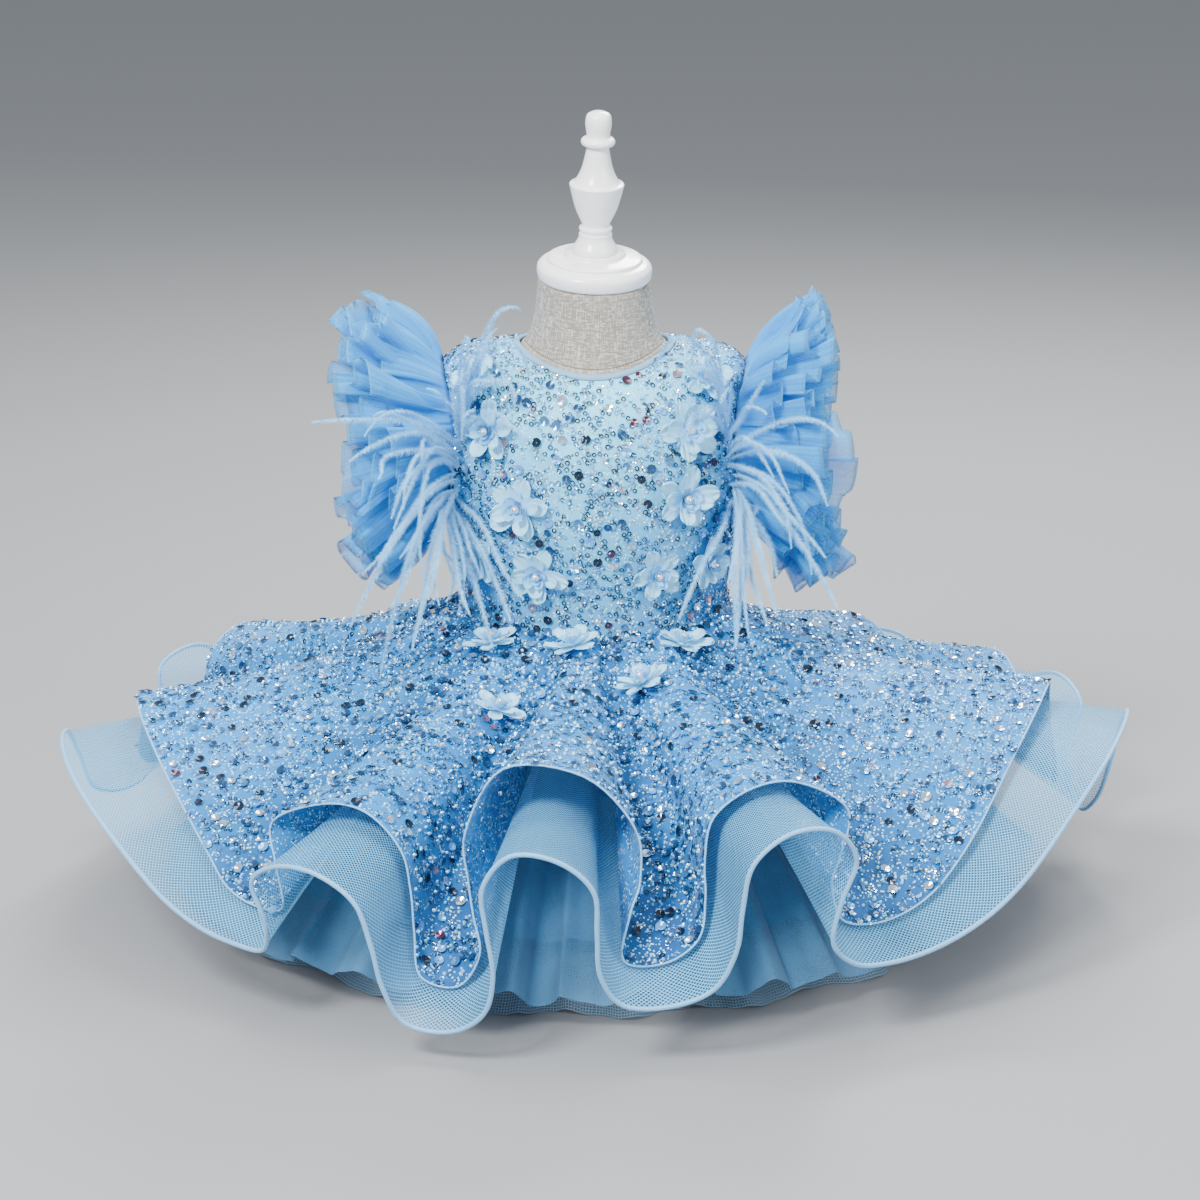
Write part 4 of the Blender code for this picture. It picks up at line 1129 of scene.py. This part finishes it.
def build_flower(node):
    corners = np.array([v.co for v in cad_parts[node].data.vertices])
    middle = corners.mean(axis=0)
    spread = np.linalg.svd(corners - middle)[2]
    normal = spread[2]
    outward = np.array((middle[0], middle[1], 0.02) if middle[2] > WAIST_TOP else (0.0, -0.3, 1.0))
    if normal @ outward < 0:
        normal = -normal
    radius = np.linalg.norm(corners - middle, axis=1).max()
    first = spread[0]
    second = np.cross(normal, first)
    axes = np.array([first, second, normal])
    back = middle - normal * 0.0012
    points, faces, kinds = [], [], []
    spin = CHANCE.random() * 6
    for number, ring in enumerate(PETALS):
        for k in range(ring.count):
            shape = petal_points(ring.long, ring.wide, ring.lift, ring.cup, ring.ripple) * radius
            shape *= 1 + 0.16 * (CHANCE.random() - 0.5)
            shape[:, :, 2] *= 0.6 + 0.8 * CHANCE.random()
            shape[:, :, 2] += 0.0004 * (k % 2) + 0.0008 * number
            a = spin + number * 0.5 + 2 * math.pi * (k + 0.25 * CHANCE.random()) / ring.count
            turn = np.array(((math.cos(a), math.sin(a), 0), (-math.sin(a), math.cos(a), 0), (0, 0, 1)))
            start = sum(len(p) for p in points)
            steps = shape.shape[0]
            points.append(shape.reshape(-1, 3) @ turn @ axes + back)
            for i in range(steps - 1):
                for j in range(steps - 1):
                    corner = start + i * steps + j
                    faces.append((corner, corner + steps, corner + steps + 1, corner + 1))
                    kinds.append(1 if ring.cupped else 0)
    for ball in BALLS:
        start = sum(len(p) for p in points)
        arcs = [math.pi * i / ball.rings for i in range(ball.rings + 1)]
        outline = [(ball.radius * math.sin(b), ball.height - ball.radius * math.cos(b)) for b in arcs]
        verts, quads = spun_shape(BALL_SPINS, outline)
        points.append(np.array(verts) @ axes + back)
        faces += [tuple(start + corner for corner in quad) for quad in quads]
        kinds += [ball.look] * len(quads)
    looks = [CHIFFON, CHIFFON_CUP, FLOWER_PEARL, CRYSTAL]
    piece = mesh_piece(node + "_petals", np.concatenate(points), faces, looks, "chiffon", node)
    piece.data.polygons.foreach_set("material_index", kinds)


# The feathers: each strand a fine shaft with barbs down both sides, sharing one mesh an armhole.
def strand_line(root, normal, side, strand):
    t = np.linspace(0, 1, SHAFT_STEPS)[:, None]
    tip = np.array((side * strand.out, -strand.front, strand.up))
    bow = np.array((0, -0.6, 0.8)) * strand.arch * 4 * t * (1 - t)
    return root + normal * (0.0004 + 0.004 * np.minimum(1, 3 * t)) + tip * t + bow


def barbs(line, longest):
    steps = np.linalg.norm(np.diff(line, axis=0), axis=1)
    length = np.concatenate([[0], np.cumsum(steps)])
    count = int(length[-1] / BARB_PITCH)
    goals = np.linspace(0.03, 0.995, count) * length[-1]
    roots = np.stack([np.interp(goals, length, line[:, k]) for k in range(3)], 1)
    ahead = np.gradient(roots, axis=0)
    ahead /= np.linalg.norm(ahead, axis=1, keepdims=True)
    level = np.cross(ahead, (0.3, 1.0, 0.2))
    level /= np.linalg.norm(level, axis=1, keepdims=True)
    other = np.cross(level, ahead)
    share = goals / length[-1]
    reach = longest * (0.35 + 0.65 * np.sin(math.pi * np.clip(share * 0.9 + 0.12, 0, 1)) ** 0.8)
    points, faces = [], []
    for arm in range(BARB_ARMS):
        spin = 2 * math.pi * arm / BARB_ARMS + CHANCE.normal(0, 0.55, count)
        out = level * np.cos(spin)[:, None] + other * np.sin(spin)[:, None]
        size = (reach * (0.65 + 0.5 * CHANCE.random(count)))[:, None]
        droop = np.array((0, 0, -0.22)) * size
        tips = roots + (out * 0.88 + ahead * 0.62) * size + droop
        wide = ahead * BARB_RADIUS
        points.append(np.stack([roots - wide, roots + wide, tips], axis=1).reshape(-1, 3))
        faces.append(np.arange(count * 3).reshape(-1, 3) + arm * count * 3)
    return np.concatenate(points), np.concatenate(faces)


def build_feathers(label, side, strands, skin):
    points, quads, thin = [], [], []
    total = 0
    ordered = sorted(strands, key=lambda s: s.root)
    for i, strand in enumerate(ordered):
        a = math.radians(STRIP_START + STRIP_SPAN * (i + 0.5) / len(strands))
        start = Vector((side, -STRIP_HALF_Y * math.cos(a), LOOP_Z + STRIP_HALF_Z * math.sin(a)))
        place, normal = skin.ray_cast(start, Vector((-side, 0, 0)))[:2]
        root = np.array(place + normal * 0.0019)
        for extra, kin in enumerate(KINS):
            leans_in = strand.out < 0 < strand.up
            stray = CHANCE.normal(0, kin.stray, 3) * (0.5 if leans_in else 1.0)
            own = Strand(strand.root, strand.out * kin.size + stray[0],
                         strand.front * kin.size + abs(stray[1]), strand.up * kin.size + stray[2],
                         strand.arch * (1 + 0.3 * extra))
            line = strand_line(root + CHANCE.normal(0, 0.0016, 3), np.array(normal), side, own)
            along = np.linspace(0, 1, SHAFT_STEPS)[:, None]
            waver = np.sin(along * (5 + 5 * CHANCE.random()) + 6 * CHANCE.random()) * along
            hook = CHANCE.normal((0, 0, -0.004), (0.010, 0.003, 0.010))
            hook = np.array((side * hook[0], -abs(hook[1]), hook[2]))
            line = line + CHANCE.normal(0, 0.0026, 3) * waver + hook * along ** 4
            shaft = tube_points(line, np.linspace(*SHAFT_RADII, SHAFT_STEPS), SHAFT_SIDES, False)
            points.append(shaft.reshape(-1, 3))
            for k in range(SHAFT_SIDES):
                for n in range(SHAFT_STEPS - 1):
                    near = total + k * SHAFT_STEPS + n
                    far = total + (k + 1) % SHAFT_SIDES * SHAFT_STEPS + n
                    quads.append((near, near + 1, far + 1, far))
            total += len(points[-1])
            fluff, faces = barbs(line, kin.barb)
            points.append(fluff)
            thin.append(faces + total)
            total += len(fluff)
    faces = quads + [tuple(face) for face in np.concatenate(thin).tolist()]
    mesh = bpy.data.meshes.new("ostrich_" + label)
    mesh.from_pydata(np.concatenate(points).tolist(), [], faces)
    mesh.shade_smooth()
    mesh.materials.append(OSTRICH)
    finish_piece(bpy.data.objects.new("ostrich_" + label, mesh), "ostrich", "feathers_" + label)


def add_light(light):
    data = bpy.data.lights.new(light.name, "AREA")
    data.shape = "DISK"
    data.size = light.size
    data.energy = light.watts
    lamp = bpy.data.objects.new(light.name, data)
    lamp.location = light.place
    lamp.rotation_euler = (Vector(light.aim) - Vector(light.place)).to_track_quat("-Z", "Y").to_euler()
    bpy.context.scene.collection.objects.link(lamp)


def build_studio():
    camera = bpy.data.objects.new("camera", bpy.data.cameras.new("camera"))
    camera.data.lens = LENS
    camera.data.clip_end = 100
    camera.location = CAMERA_PLACE
    camera.rotation_euler = (math.radians(90 - CAMERA_PITCH), 0, 0)
    bpy.context.scene.collection.objects.link(camera)
    bpy.context.scene.camera = camera
    half = FLOOR_SIZE / 2
    corners = [(-half, -half, 0), (half, -half, 0), (half, half, 0), (-half, half, 0)]
    mesh = bpy.data.meshes.new("floor")
    mesh.from_pydata(corners, [], [(0, 1, 2, 3)])
    mesh.materials.append(Look("studio_floor", (0.29, 0.295, 0.30), 0.85).material)
    floor = bpy.data.objects.new("floor", mesh)
    bpy.context.scene.collection.objects.link(floor)
    world = bpy.data.worlds.new("studio")
    world.use_nodes = True
    sky = world.node_tree.nodes["Background"].inputs
    sky["Color"].default_value = SKY_COLOUR
    sky["Strength"].default_value = SKY_STRENGTH
    bpy.context.scene.world = world
    for light in LIGHTS:
        add_light(light)


build_studio()
build_form()
build_bodice()
build_binding()
HEM = hem_line()
WAIST_TURNS = waist_turns(HEM)
build_under_tier(HEM, WAIST_TURNS)
build_overskirt(HEM, WAIST_TURNS)
for layer, look in zip(LAYERS, (PETTICOAT_TULLE, SATIN, STIFF_NET)):
    build_layer(layer, look)
SKIN = tree_of(skin_grid(np.arange(120) * 3.0, BODICE_OUT + 0.0002))
for side, label, strands in ((-1, "left", LEFT_STRANDS), (1, "right", RIGHT_STRANDS)):
    for ruffle in RUFFLES:
        build_ruffle(side, ruffle, SKIN)
    build_feathers(label, side, strands, SKIN)
for node in sorted(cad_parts):
    if node.startswith("flower_"):
        build_flower(node)
